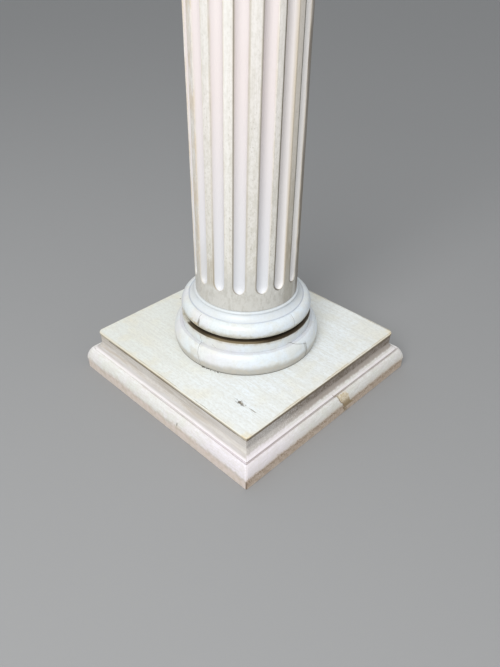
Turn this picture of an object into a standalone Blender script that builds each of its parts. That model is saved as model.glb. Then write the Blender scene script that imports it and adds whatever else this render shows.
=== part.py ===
"""A painted wooden column: moulded square plinth, turned base, fluted shaft and plain Doric capital.

Metres, +Z up. The origin is the middle of the underside, and -Y is the front of the plinth.
Every size comes from the shaft's diameter, the plinth's width and the heights below.
"""

import math

import bmesh
import bpy
from mathutils import Matrix

# Driving dimensions.
SHAFT_DIAMETER = 0.2004
PLINTH_WIDTH = 0.490
PLINTH_HEIGHT = 0.0905
BASE_HEIGHT = 0.1168
HEIGHT_IN_DIAMETERS = 8.0
JOINT_GAP = 0.0003

# Heights that follow from them.
SHAFT_RADIUS = SHAFT_DIAMETER / 2
PLINTH_HALF = PLINTH_WIDTH / 2
SHAFT_FOOT = PLINTH_HEIGHT + BASE_HEIGHT
COLUMN_TOP = PLINTH_HEIGHT + HEIGHT_IN_DIAMETERS * SHAFT_DIAMETER
CAPITAL_THIRD = SHAFT_DIAMETER / 6
ASTRAGAL_HEIGHT = SHAFT_DIAMETER / 12
ABACUS_FOOT = COLUMN_TOP - CAPITAL_THIRD
CAPITAL_FOOT = ABACUS_FOOT - 2 * CAPITAL_THIRD - ASTRAGAL_HEIGHT
SHAFT_TOP = CAPITAL_FOOT

# Plinth: a rebated top board on four mitred mouldings.
BOARD_HALF = PLINTH_HALF - 0.025
BOARD_LIP = 0.0060
BOARD_THICKNESS = 0.025
BOARD_ARRIS = 0.0018
FASCIA_HALF = BOARD_HALF - 0.0012
FASCIA_LEAN = 0.0008
FASCIA_ARRIS = 0.0012
FASCIA_THICKNESS = 0.021
COVE_TOP = 0.0640
LEDGE_HALF = PLINTH_HALF - 0.0155
LEDGE_HEIGHT = 0.0485
QUIRK_DEPTH = 0.0028
OVOLO_FOOT = 0.0235
BAND_INSET = 0.0010
COVE_HOLLOW = 0.45
OVOLO_SWELL = 0.60

# Radii of the worn corners in plan: back right, back left, front left and front right.
# The front right one is still crisp, and its neighbours are rubbed round.
BOARD_CORNERS = (0.0095, 0.0080, 0.0100, 0.0060)
MOULDING_CORNERS = (0.0105, 0.0080, 0.0110, 0.0035)

# Turned base, radii and heights above the plinth.
LOWER_TORUS_FOOT = 0.1435
LOWER_TORUS_RADIUS = 0.1475
LOWER_TORUS_WAIST = 0.0200
FILLET_RADIUS = 0.1300
FILLET_FOOT = 0.0445
FILLET_TOP = 0.0642
SLOT_FLOOR = 0.1120
UPPER_TORUS_FOOT = 0.1180
UPPER_TORUS_BOTTOM = 0.0704
UPPER_TORUS_RADIUS = 0.1300
UPPER_TORUS_WAIST = 0.0820
UPPER_TORUS_TOP_RADIUS = 0.1150
UPPER_TORUS_TOP = 0.1002
COVE_RADIUS_OUT = 0.1134
COVE_RADIUS_IN = 0.1040
COVE_HEIGHT_LOW = 0.1008
COVE_HEIGHT_HIGH = 0.1112
NECKING_HOLLOW = 0.5
BEAD_RADIUS = 0.1040
BEAD_MIDDLE = 0.1145

# Shaft: straight for a third of its height, then drawn in to five sixths on a cosine curve.
FLUTES = 16
FLUTE_TURN = math.radians(14.8)
FLUTE_SHARE = 0.60
FLUTE_DEPTH = 0.0080
FLUTE_TIP = 0.0362
FLUTE_ROUND = 0.0150
STRAIGHT_SHARE = 1 / 3
TOP_SHARE = 5 / 6
FLUTE_ROUND_STEPS = (0.0, 0.5, 0.8, 0.95, 1.0)
FLUTE_WIDTH_STEPS = (-1.0, -0.72, -0.3, 0.3, 0.72, 1.0)
TAPER_STATIONS = (0.0, 0.33, 0.66)

# Capital.
TOP_RADIUS = SHAFT_RADIUS * TOP_SHARE
ASTRAGAL_PROUD = 0.0085
ANNULET_PROUD = 0.0035
ANNULET_HEIGHT = 0.0042
ECHINUS_PROUD = 0.0270
ABACUS_HALF = SHAFT_DIAMETER * 5 / 8
ABACUS_FILLET = 0.0080
ABACUS_COVE = 0.0045
ABACUS_CORNER = 0.0015

BASE_SIDES = 56
CAPITAL_SIDES = 48

WHITE = (0.72, 0.71, 0.68, 1.0)
CREAM = (0.66, 0.62, 0.57, 1.0)
STONE_WHITE = (0.70, 0.72, 0.73, 1.0)


def clear_scene():
    """Remove whatever the file opened with."""
    for old in list(bpy.data.objects):
        bpy.data.objects.remove(old, do_unlink=True)


def paint(name, colour, roughness):
    """A plain painted finish."""
    material = bpy.data.materials.new(name)
    material.use_nodes = True
    shader = material.node_tree.nodes["Principled BSDF"]
    shader.inputs["Base Color"].default_value = colour
    shader.inputs["Roughness"].default_value = roughness
    shader.inputs["Metallic"].default_value = 0.0
    return material


def finish_object(name, bm, material, height=0.0, smooth_angle=None):
    """Turn a bmesh into a named object that stands at a height on the column's axis."""
    bmesh.ops.remove_doubles(bm, verts=bm.verts, dist=1e-6)
    bmesh.ops.recalc_face_normals(bm, faces=bm.faces)
    mesh = bpy.data.meshes.new(name)
    bm.to_mesh(mesh)
    bm.free()
    if smooth_angle is not None:
        mesh.shade_smooth()
        mesh.set_sharp_from_angle(angle=smooth_angle)
    mesh.materials.append(material)
    thing = bpy.data.objects.new(name, mesh)
    thing.location.z = height
    bpy.context.collection.objects.link(thing)
    return thing


def quarter(start, end, steps, turn_first, fullness=1.0):
    """Points of a quarter ellipse from start to end, without start.

    The curve leaves start level when turn_first is "level" and upright when it is "upright".
    A fullness under one draws it in towards the straight line between its ends.
    """
    points = []
    for step in range(1, steps + 1):
        angle = math.pi / 2 * step / steps
        fast = math.sin(angle)
        slow = 1 - math.cos(angle)
        chord = (fast + slow) / 2
        if turn_first == "level":
            share = (fast, slow)
        else:
            share = (slow, fast)
        share = [chord + fullness * (value - chord) for value in share]
        points.append((
            start[0] + (end[0] - start[0]) * share[0],
            start[1] + (end[1] - start[1]) * share[1],
        ))
    return points


def turn_profile(profile, sides):
    """Spin a closed-at-the-axis profile of (radius, height) points once round the axis."""
    bm = bmesh.new()
    verts = [bm.verts.new((radius, 0.0, height)) for radius, height in profile]
    edges = [bm.edges.new(pair) for pair in zip(verts, verts[1:])]
    bmesh.ops.spin(
        bm,
        geom=verts + edges,
        cent=(0, 0, 0),
        axis=(0, 0, 1),
        angle=2 * math.pi,
        steps=sides,
        use_merge=True,
    )
    return bm


def rounded_square(half, corners, steps):
    """Corner points, anticlockwise from the back right, of a square with rounded corners."""
    points = []
    for turn, corner in enumerate(corners):
        middle = math.pi / 4 + turn * math.pi / 2
        centre_x = (half - corner) * math.copysign(1, math.cos(middle))
        centre_y = (half - corner) * math.copysign(1, math.sin(middle))
        for step in range(steps + 1):
            angle = middle - math.pi / 4 + math.pi / 2 * step / steps
            points.append((centre_x + corner * math.cos(angle), centre_y + corner * math.sin(angle)))
    return points


def stack_squares(layers, steps):
    """Close a solid over (half width, corner radii, height) layers, from the lowest up."""
    bm = bmesh.new()
    rings = []
    for half, corners, height in layers:
        outline = rounded_square(half, corners, steps)
        rings.append([bm.verts.new((x, y, height)) for x, y in outline])
    join_rings(bm, rings)
    bm.faces.new(list(reversed(rings[0])))
    bm.faces.new(rings[-1])
    return bm


def join_rings(bm, rings):
    """Fill between closed rings that have the same number of points."""
    for low, high in zip(rings, rings[1:]):
        for index in range(len(low)):
            following = (index + 1) % len(low)
            bm.faces.new((low[index], low[following], high[following], high[index]))


def plinth_profile():
    """Half width and height of the moulding's face, from the floor up to its top edge."""
    fascia_foot = FASCIA_HALF - FASCIA_LEAN
    band_half = PLINTH_HALF - BAND_INSET
    quirk = (LEDGE_HALF, LEDGE_HEIGHT - QUIRK_DEPTH)
    profile = [(band_half - 0.0006, 0.0), (band_half, 0.0012)]
    profile += [(band_half, OVOLO_FOOT - BAND_INSET), (PLINTH_HALF, OVOLO_FOOT)]
    profile += quarter((PLINTH_HALF, OVOLO_FOOT), quirk, 5, "upright", OVOLO_SWELL)
    profile += [(LEDGE_HALF, LEDGE_HEIGHT)]
    profile += quarter((LEDGE_HALF, LEDGE_HEIGHT), (fascia_foot, COVE_TOP), 4, "level", COVE_HOLLOW)
    top = PLINTH_HEIGHT - BOARD_LIP - JOINT_GAP
    profile += [(FASCIA_HALF, top - FASCIA_ARRIS), (FASCIA_HALF - 1.5 * FASCIA_ARRIS, top)]
    return profile


def half_corner(half, corner, height):
    """Points from the mitre at +X, -Y round to the straight part of the -Y face."""
    steps = 3
    straight = half - corner
    points = []
    for step in range(steps + 1):
        angle = math.pi / 4 * (1 - step / steps)
        points.append((straight + corner * math.sin(angle), -straight - corner * math.cos(angle), height))
    return points


def plinth_moulding(name, turn, corners, material):
    """One mitred length of the moulding, along -Y, then turned about the axis to its own side.

    The corner radii are those at its left and right ends, seen from outside.
    """
    back = FASCIA_HALF - FASCIA_THICKNESS
    bm = bmesh.new()
    rows = []
    for half, height in plinth_profile():
        left_end = [(-x, y, z) for x, y, z in half_corner(half, corners[0], height)]
        right_end = half_corner(half, corners[1], height)
        rows.append(left_end + list(reversed(right_end)))
    top = PLINTH_HEIGHT - BOARD_LIP - JOINT_GAP
    for height in (top, 0.0):
        left = [(-back, -back, height)]
        right = [(back, -back, height)]
        between = len(rows[0]) - 2
        middle = [
            (-back + 2 * back * (step + 1) / (between + 1), -back, height)
            for step in range(between)
        ]
        rows.append(left + middle + right)
    pull = JOINT_GAP / 2
    rings = []
    for row in rows:
        rings.append([bm.verts.new((pull_in(x, y, pull), y, z)) for x, y, z in row])
    count = len(rings)
    for index in range(count):
        low = rings[index]
        high = rings[(index + 1) % count]
        for place in range(len(low) - 1):
            bm.faces.new((low[place], low[place + 1], high[place + 1], high[place]))
    bm.faces.new([ring[0] for ring in rings])
    bm.faces.new([ring[-1] for ring in reversed(rings)])
    bmesh.ops.rotate(
        bm,
        verts=bm.verts,
        cent=(0, 0, 0),
        matrix=Matrix.Rotation(turn, 3, "Z"),
    )
    return finish_object(name, bm, material, smooth_angle=math.radians(28))


def pull_in(x, y, pull):
    """Shorten a moulding by the joint's half gap at each mitre, along its length."""
    if abs(abs(x) - abs(y)) < 1e-6:
        return x - math.copysign(pull * math.sqrt(2), x)
    return x


def plinth_top_board(material):
    """The board: a thin lip over the mouldings and a thicker body that drops between them."""
    lip_foot = PLINTH_HEIGHT - BOARD_LIP
    body_half = FASCIA_HALF - FASCIA_THICKNESS - JOINT_GAP
    square = [0.001] * 4
    layers = [
        (body_half, square, PLINTH_HEIGHT - BOARD_THICKNESS),
        (body_half, square, lip_foot),
        (BOARD_HALF - 0.0008, BOARD_CORNERS, lip_foot),
        (BOARD_HALF, BOARD_CORNERS, lip_foot + 0.0012),
        (BOARD_HALF, BOARD_CORNERS, PLINTH_HEIGHT - BOARD_ARRIS),
        (BOARD_HALF - 0.3 * BOARD_ARRIS, BOARD_CORNERS, PLINTH_HEIGHT - 0.3 * BOARD_ARRIS),
        (BOARD_HALF - BOARD_ARRIS, BOARD_CORNERS, PLINTH_HEIGHT),
    ]
    bm = stack_squares(layers, 5)
    return finish_object("plinth_top_board", bm, material, smooth_angle=math.radians(28))


def turned_base(material):
    """Lower torus, fillet, deep slot, upper torus, cove and a small bead, as one turning."""
    profile = [(0.0, JOINT_GAP), (LOWER_TORUS_FOOT, JOINT_GAP)]
    waist = (LOWER_TORUS_RADIUS, LOWER_TORUS_WAIST)
    profile += quarter(profile[-1], waist, 3, "level")
    profile += quarter(waist, (FILLET_RADIUS + 0.001, FILLET_FOOT), 5, "upright")
    profile += [(FILLET_RADIUS, FILLET_FOOT), (FILLET_RADIUS, FILLET_TOP)]
    profile += [(SLOT_FLOOR, FILLET_TOP), (SLOT_FLOOR, UPPER_TORUS_BOTTOM)]
    profile += [(UPPER_TORUS_FOOT, UPPER_TORUS_BOTTOM)]
    waist = (UPPER_TORUS_RADIUS, UPPER_TORUS_WAIST)
    profile += quarter(profile[-1], waist, 3, "level")
    profile += quarter(waist, (UPPER_TORUS_TOP_RADIUS, UPPER_TORUS_TOP), 4, "upright")
    profile += [(COVE_RADIUS_OUT, UPPER_TORUS_TOP), (COVE_RADIUS_OUT, COVE_HEIGHT_LOW)]
    profile += quarter(profile[-1], (COVE_RADIUS_IN, COVE_HEIGHT_HIGH), 3, "level", NECKING_HOLLOW)
    profile += [(BEAD_RADIUS, BEAD_MIDDLE)]
    profile += quarter(profile[-1], (SHAFT_RADIUS + 0.0006, BASE_HEIGHT - JOINT_GAP), 2, "upright")
    profile += [(0.0, BASE_HEIGHT - JOINT_GAP)]
    bm = turn_profile(profile, BASE_SIDES)
    return finish_object("turned_base", bm, material, PLINTH_HEIGHT, math.radians(30))


def shaft_radius(share):
    """Radius of the shaft at a share of its height: straight, then a cosine curve."""
    if share <= STRAIGHT_SHARE:
        return SHAFT_RADIUS
    rise = (share - STRAIGHT_SHARE) / (1 - STRAIGHT_SHARE)
    return SHAFT_RADIUS * math.cos(rise * math.acos(TOP_SHARE))


def shaft_ring(height, width, depth):
    """Outline of the shaft at a height, its flutes at shares of their full width and depth."""
    length = SHAFT_TOP - SHAFT_FOOT
    radius = shaft_radius(height / length)
    pitch = 2 * math.pi / FLUTES
    half_angle = pitch * FLUTE_SHARE / 2
    shoulder = half_angle + pitch / 12
    half_width = SHAFT_RADIUS * math.sin(half_angle)
    cutter = (half_width ** 2 + FLUTE_DEPTH ** 2) / (2 * FLUTE_DEPTH)
    points = []
    for flute in range(FLUTES):
        middle = FLUTE_TURN + flute * pitch
        places = [(middle - shoulder, 0.0)]
        for step in FLUTE_WIDTH_STEPS:
            sink = math.sqrt(cutter ** 2 - (step * half_width) ** 2) - (cutter - FLUTE_DEPTH)
            scale = depth * radius / SHAFT_RADIUS
            places.append((middle + step * half_angle * width, sink * scale))
        places.append((middle + shoulder, 0.0))
        for angle, sink in places:
            reach = radius - sink
            points.append((reach * math.cos(angle), reach * math.sin(angle), height))
    return points


def fluted_shaft(material):
    """The shaft: a plain band, round-ended flutes with flats between them, and a plain neck."""
    length = SHAFT_TOP - SHAFT_FOOT
    foot_round = []
    for step in reversed(FLUTE_ROUND_STEPS):
        openness = math.sqrt(1 - step ** 2)
        foot_round.append((FLUTE_TIP + FLUTE_ROUND * (1 - step), openness, openness))
    head_round = [(length - height, width, depth) for height, width, depth in reversed(foot_round)]
    stations = [(JOINT_GAP, 1.0, 0.0)] + foot_round
    for share in TAPER_STATIONS:
        height = length * (STRAIGHT_SHARE + (1 - STRAIGHT_SHARE) * share)
        stations.append((height, 1.0, 1.0))
    stations += head_round + [(length - JOINT_GAP, 1.0, 0.0)]

    bm = bmesh.new()
    rings = []
    for height, width, depth in stations:
        outline = shaft_ring(height, width, depth)
        rings.append([bm.verts.new(point) for point in outline])
    join_rings(bm, rings)
    bm.faces.new(list(reversed(rings[0])))
    bm.faces.new(rings[-1])
    return finish_object("fluted_shaft", bm, material, SHAFT_FOOT, math.radians(26))


def turned_capital(material):
    """Astragal, neck, two annulets and echinus, as one turning."""
    bead = (ASTRAGAL_HEIGHT - JOINT_GAP) * 0.7
    neck_top = ASTRAGAL_HEIGHT + CAPITAL_THIRD
    top = ASTRAGAL_HEIGHT + 2 * CAPITAL_THIRD - JOINT_GAP
    profile = [(0.0, JOINT_GAP), (TOP_RADIUS, JOINT_GAP)]
    bead_middle = (TOP_RADIUS + ASTRAGAL_PROUD, JOINT_GAP + bead / 2)
    profile += quarter(profile[-1], bead_middle, 2, "level")
    profile += quarter(bead_middle, (TOP_RADIUS + ANNULET_PROUD, JOINT_GAP + bead), 2, "upright")
    profile += [(TOP_RADIUS + ANNULET_PROUD, ASTRAGAL_HEIGHT), (TOP_RADIUS, ASTRAGAL_HEIGHT)]
    profile += [(TOP_RADIUS, neck_top)]
    for step in (1, 2):
        radius = TOP_RADIUS + step * ANNULET_PROUD
        profile += [(radius, profile[-1][1]), (radius, profile[-1][1] + ANNULET_HEIGHT)]
    echinus_foot = profile[-1]
    profile += quarter(echinus_foot, (TOP_RADIUS + ECHINUS_PROUD, top - 0.004), 4, "level")
    profile += [(TOP_RADIUS + ECHINUS_PROUD - 0.002, top), (0.0, top)]
    bm = turn_profile(profile, CAPITAL_SIDES)
    return finish_object("turned_capital", bm, material, CAPITAL_FOOT, math.radians(30))


def abacus(material):
    """The square top board: a plain slab under a small cove and fillet."""
    slab_half = ABACUS_HALF - ABACUS_COVE
    fillet_foot = CAPITAL_THIRD - ABACUS_FILLET
    corners = [ABACUS_CORNER] * 4
    layers = [
        (slab_half, corners, JOINT_GAP),
        (slab_half, corners, fillet_foot - ABACUS_COVE),
        (slab_half + 0.3 * ABACUS_COVE, corners, fillet_foot - 0.3 * ABACUS_COVE),
        (ABACUS_HALF, corners, fillet_foot),
        (ABACUS_HALF, corners, CAPITAL_THIRD),
    ]
    bm = stack_squares(layers, 2)
    return finish_object("abacus", bm, material, ABACUS_FOOT, math.radians(28))


def build_column():
    """All nine pieces, from the floor up."""
    clear_scene()
    white = paint("white paint on the plinth", WHITE, 0.55)
    cream = paint("cream paint on the shaft", CREAM, 0.55)
    turned = paint("white paint on the turnings", STONE_WHITE, 0.5)
    for side, name in enumerate(("front", "right", "back", "left")):
        corners = [MOULDING_CORNERS[(side + 2) % 4], MOULDING_CORNERS[(side + 3) % 4]]
        plinth_moulding("plinth_moulding_" + name, side * math.pi / 2, corners, white)
    plinth_top_board(white)
    turned_base(turned)
    fluted_shaft(cream)
    turned_capital(turned)
    abacus(white)


build_column()
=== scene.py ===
# %% [markdown]
# # A painted wooden column
#
# The column stands on a square moulded plinth, and its turned base and fluted shaft carry a plain
# Doric capital. It is joiner's work in softwood under old white oil paint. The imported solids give
# every piece its place and size. This lesson makes each piece again with a finer surface, cuts the
# joints and knocks that show, and mixes the paints. Everything is in metres, with +Z up.

# %% Load the frame
import math
from types import SimpleNamespace

import bmesh
import bpy
from mathutils import Matrix, Vector


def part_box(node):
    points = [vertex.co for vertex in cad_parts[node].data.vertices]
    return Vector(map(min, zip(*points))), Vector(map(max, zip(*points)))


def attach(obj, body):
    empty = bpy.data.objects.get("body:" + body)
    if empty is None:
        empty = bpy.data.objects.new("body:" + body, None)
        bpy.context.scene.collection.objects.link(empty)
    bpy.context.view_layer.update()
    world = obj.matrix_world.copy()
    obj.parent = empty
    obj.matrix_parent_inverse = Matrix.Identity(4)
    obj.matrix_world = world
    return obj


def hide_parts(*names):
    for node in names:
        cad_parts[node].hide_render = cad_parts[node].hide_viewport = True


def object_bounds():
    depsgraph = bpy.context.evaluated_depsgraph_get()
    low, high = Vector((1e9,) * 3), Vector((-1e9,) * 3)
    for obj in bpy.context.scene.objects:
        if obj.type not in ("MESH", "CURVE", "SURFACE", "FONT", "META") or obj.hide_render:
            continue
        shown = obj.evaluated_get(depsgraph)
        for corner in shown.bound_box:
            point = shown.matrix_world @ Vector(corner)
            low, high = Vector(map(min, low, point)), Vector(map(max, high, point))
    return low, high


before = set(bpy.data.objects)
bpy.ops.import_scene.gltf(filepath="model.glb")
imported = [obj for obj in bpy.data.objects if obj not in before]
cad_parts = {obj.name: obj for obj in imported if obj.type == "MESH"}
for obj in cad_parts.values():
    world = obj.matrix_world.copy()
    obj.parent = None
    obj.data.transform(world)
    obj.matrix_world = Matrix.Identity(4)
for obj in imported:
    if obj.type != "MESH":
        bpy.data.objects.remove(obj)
cad_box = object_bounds()
print("solids:", sorted(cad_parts))

# %% [markdown]
# ## Sizes
#
# The big sizes are read from the solids, so the new pieces can't drift away from them. The joiner's
# small ones, such as how thick the lip is or how deep a flute is, stand where they are first needed.

# %% Sizes read from the solids
MM = 0.001
PLINTH_HALF = cad_box[1][0]
COLUMN_TOP = cad_box[1][2]
PLINTH_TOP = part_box("plinth_top_board")[1].z
BOARD_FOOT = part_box("plinth_top_board")[0].z
BOARD_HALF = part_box("plinth_top_board")[1].x
BASE_LOW, BASE_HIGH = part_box("turned_base")
SHAFT_LOW, SHAFT_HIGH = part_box("fluted_shaft")
CAPITAL_LOW, CAPITAL_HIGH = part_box("turned_capital")
ABACUS_LOW, ABACUS_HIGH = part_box("abacus")
SHAFT_RADIUS = 100.2 * MM
FIT_GAP = 0.3 * MM
print(f"plinth {2 * PLINTH_HALF / MM:.0f} mm wide, column {COLUMN_TOP / MM:.0f} mm high")


# %% [markdown]
# ## Working by hand, in code
#
# Modelling operators act on whatever is selected, as they do under the mouse. These helpers keep
# that safe. A piece is added and named, and opened with nothing selected. Points, edges or faces are
# then picked by a test of their place. At the end the piece is closed, and shaded smooth but for its
# sharp edges.

# %% Helpers that add, open and close a piece
# Edges sharper than these angles, in degrees, stay sharp on planed, turned and fluted wood.
PLANED = 32
TURNED = 38
FLUTED = 24


def choose(piece):
    """Select one piece alone, in object mode, and make it the active one."""
    if bpy.context.mode != "OBJECT":
        bpy.ops.object.mode_set(mode="OBJECT")
    bpy.ops.object.select_all(action="DESELECT")
    piece.select_set(True)
    bpy.context.view_layer.objects.active = piece


def new_piece(name, add_primitive, **settings):
    """Add a primitive with nothing else selected, and name it and its mesh."""
    bpy.ops.object.select_all(action="DESELECT")
    add_primitive(**settings)
    piece = bpy.context.object
    piece.name = name
    piece.data.name = name
    return piece


def open_piece(piece):
    """Enter edit mode on one piece, with nothing selected."""
    choose(piece)
    bpy.ops.object.mode_set(mode="EDIT")
    bpy.ops.mesh.select_mode(type="VERT")
    bpy.ops.mesh.select_all(action="DESELECT")


def close_piece(piece, angle):
    """Leave edit mode and shade the piece smooth, but for edges sharper than an angle."""
    bpy.ops.object.mode_set(mode="OBJECT")
    bpy.ops.object.shade_smooth_by_angle(angle=math.radians(angle))
    print(f"{piece.name}: {len(piece.data.polygons)} faces")


# %% Helpers that work on the open piece
def pick(piece, kind, test):
    """Select only the verts, edges or faces of the open piece that pass a test; say how many."""
    bpy.ops.mesh.select_mode(type={"verts": "VERT", "edges": "EDGE", "faces": "FACE"}[kind])
    bpy.ops.mesh.select_all(action="DESELECT")
    drawing = bmesh.from_edit_mesh(piece.data)
    chosen = [part for part in getattr(drawing, kind) if test(part)]
    for part in chosen:
        part.select_set(True)
    bmesh.update_edit_mesh(piece.data)
    return len(chosen)


def pick_rims():
    """Select the edges round every opening of the open piece."""
    bpy.ops.mesh.select_mode(type="EDGE")
    bpy.ops.mesh.select_all(action="DESELECT")
    bpy.ops.mesh.select_non_manifold(extend=False, use_wire=False, use_multi_face=False,
                                     use_non_contiguous=False, use_verts=False)


def face_outwards():
    """Turn all the normals of the open piece outwards."""
    bpy.ops.mesh.select_all(action="SELECT")
    bpy.ops.mesh.normals_make_consistent(inside=False)


def fill_openings():
    """Fill every opening of the open piece with one face, and turn the normals outwards."""
    pick_rims()
    bpy.ops.mesh.edge_face_add()
    face_outwards()


def turn_about_axis(angle, reach=0.0):
    """Turn the selection anticlockwise about the column's axis, and what lies within reach less.

    Without a window transform.rotate turns the other way, so the value is negative.
    """
    bpy.ops.transform.rotate(value=-angle, orient_axis="Z", center_override=(0, 0, 0),
                             use_proportional_edit=reach > 0, proportional_size=max(reach, 1 * MM),
                             proportional_edit_falloff="LINEAR")


def spin_about_axis(steps, angle, **settings):
    """Spin the whole piece about the column's axis, and select what comes of it."""
    bpy.ops.mesh.select_all(action="SELECT")
    bpy.ops.mesh.spin(steps=steps, angle=angle, center=(0, 0, 0), axis=(0, 0, 1), **settings)
    bpy.ops.mesh.select_all(action="SELECT")


# %% [markdown]
# ## Curves of a moulding
#
# A joiner's moulding and a turner's profile are both chains of quarter rounds and short flats. One
# function walks along a quarter from one point to the next. A fullness under one flattens the
# quarter towards its chord, as on the worn ovolo of this plinth.

# %% Quarter rounds
def quarter(start, end, steps, first, fullness=1.0):
    """Points of a quarter ellipse after start, which leaves start "level" or "upright"."""
    points = []
    for step in range(1, steps + 1):
        angle = math.pi / 2 * step / steps
        fast = math.sin(angle)
        slow = 1 - math.cos(angle)
        chord = (fast + slow) / 2
        share = (fast, slow) if first == "level" else (slow, fast)
        share = [chord + fullness * (value - chord) for value in share]
        points.append(tuple(a + (b - a) * part for a, b, part in zip(start, end, share)))
    return points


# %% [markdown]
# ## The plinth's square outline
#
# The plinth was square when it was made, but its corners have been knocked and rubbed round, each
# by a different amount. So the outline starts as a plane whose four corners are bevelled one by
# one. Its long sides are divided finely, to hold the small waves that old paint has. The outline is
# then raised ring by ring: each extrusion is lifted and scaled to the next half width.

# %% Square outlines raised in rings
def square_outline(name, half, corners, cuts):
    """Open a new piece that is a bare square outline with a radius for each corner."""
    piece = new_piece(name, bpy.ops.mesh.primitive_plane_add, size=2 * half)
    open_piece(piece)
    for (side_x, side_y), radius in corners.items():
        pick(piece, "verts", lambda v: v.co.x * side_x > 0.9 * half and v.co.y * side_y > 0.9 * half)
        bpy.ops.mesh.bevel(offset=radius, segments=8, affect="VERTICES")
    pick(piece, "edges", lambda edge: edge.calc_length() > half)
    bpy.ops.mesh.subdivide(number_cuts=cuts)
    bpy.ops.mesh.select_all(action="SELECT")
    bpy.ops.mesh.delete(type="ONLY_FACE")
    bpy.ops.mesh.select_all(action="SELECT")
    return piece


def raise_rings(rings):
    """Extrude the selected outline through (half width, height) rings, the first of them its own."""
    bpy.ops.transform.translate(value=(0, 0, rings[0][1]))
    for (half, height), (next_half, next_height) in zip(rings, rings[1:]):
        lift = (0, 0, next_height - height)
        bpy.ops.mesh.extrude_edges_move(TRANSFORM_OT_translate={"value": lift})
        scale = next_half / half
        bpy.ops.transform.resize(value=(scale, scale, 1), center_override=(0, 0, 0))


# %% [markdown]
# ## The four mouldings
#
# On the real plinth a joiner ran one length of moulding and cut it into four pieces, mitred at the
# corners. From the floor up it has a plain band, a flat ovolo, a quirk, a hollow and a tall fascia
# under the board. Here the whole square is raised as one tube and then parted along its diagonals,
# which gives the same four pieces with mitres that meet exactly.

# %% Sizes of the moulding
PAINT_WAVES = 0.4 * MM
OVOLO_HALF = PLINTH_HALF - PAINT_WAVES
BAND_HALF = OVOLO_HALF - 1.0 * MM
OVOLO_FOOT = 23.5 * MM
LEDGE_HALF = PLINTH_HALF - 15.5 * MM
LEDGE_HEIGHT = 48.5 * MM
QUIRK_DEPTH = 3.4 * MM
QUIRK_WIDTH = 4.0 * MM
HOLLOW_TOP = 64.0 * MM
FASCIA_HALF = BOARD_HALF - 1.2 * MM
FASCIA_BACK = FASCIA_HALF - 21 * MM
LIP = 6.0 * MM
LIP_FOOT = PLINTH_TOP - LIP
FASCIA_TOP = LIP_FOOT - FIT_GAP
print(f"from the floor to the lip: {FASCIA_TOP / MM:.1f} mm")

# %% The moulding's profile, as half width and height
outer = [(BAND_HALF - 0.8 * MM, 0.0), (BAND_HALF - 0.2 * MM, 0.6 * MM), (BAND_HALF, 1.6 * MM)]
outer += [(BAND_HALF, OVOLO_FOOT * share) for share in (0.3, 0.5, 0.7, 0.85, 0.94)]
outer += [(OVOLO_HALF - 0.4 * MM, OVOLO_FOOT - 0.3 * MM), (OVOLO_HALF, OVOLO_FOOT)]
outer += quarter(outer[-1], (LEDGE_HALF + QUIRK_WIDTH, LEDGE_HEIGHT - 1.8 * MM), 12, "upright", 0.6)
QUIRK_SHAPE = ((0.7, 0.62), (0.4, 0.85), (0.15, 1.0), (0.0, 0.93), (-0.05, 0.5), (0.0, 0.15))
for share, fall in QUIRK_SHAPE:
    outer.append((LEDGE_HALF + QUIRK_WIDTH * share, LEDGE_HEIGHT - QUIRK_DEPTH * fall))
outer += [(LEDGE_HALF - 0.5 * MM, LEDGE_HEIGHT)]
outer += quarter(outer[-1], (FASCIA_HALF - 0.8 * MM, HOLLOW_TOP), 12, "level", 0.45)
outer += [(FASCIA_HALF - 0.4 * MM, HOLLOW_TOP + (FASCIA_TOP - HOLLOW_TOP) * k / 8) for k in range(1, 8)]
outer += [(FASCIA_HALF - 0.2 * MM, FASCIA_TOP - 1.2 * MM), (FASCIA_HALF - 1.8 * MM, FASCIA_TOP)]
inner = [(FASCIA_BACK, FASCIA_TOP), (FASCIA_BACK, 0.0)]
print("moulding profile:", len(outer), "points")


# %% Raise the square and part it at the mitres
moulding_corners = {(1, 1): 10.5 * MM, (-1, 1): 8 * MM, (-1, -1): 11 * MM, (1, -1): 3.5 * MM}
plinth = square_outline("plinth_mouldings", outer[0][0], moulding_corners, 149)
raise_rings(outer + inner)
pick_rims()
bpy.ops.mesh.bridge_edge_loops()
face_outwards()


def part_of_side(side):
    """A test for faces that lie on one side of the plinth: front, right, back or left."""
    direction = Vector((math.sin(side * math.pi / 2), -math.cos(side * math.pi / 2)))
    return lambda face: face.calc_center_median().xy.normalized().dot(direction) > math.sqrt(0.5)


mouldings = {}
for side, name in enumerate(("front", "right", "back")):
    open_piece(plinth)
    pick(plinth, "faces", part_of_side(side))
    bpy.ops.mesh.separate(type="SELECTED")
    bpy.ops.object.mode_set(mode="OBJECT")
    (mouldings[name],) = [thing for thing in bpy.context.selected_objects if thing != plinth]
mouldings["left"] = plinth
for name, moulding in mouldings.items():
    moulding.name = "moulding_" + name
    moulding.data.name = moulding.name
print("mouldings:", sorted(mouldings))

# %% [markdown]
# The parted mouldings are open where they were cut. Each mitre is filled with one face and drawn
# back by half the joint. The paint has bridged the joint, so it shows as no more than a hairline.

# %% Close the mitres
MITRE_GAP = 0.1 * MM


def mitre_towards(way):
    """A test for the face that fills the mitre at one end of a moulding."""
    return lambda face: len(face.verts) > 4 and face.calc_center_median().dot(way) > 0


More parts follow.
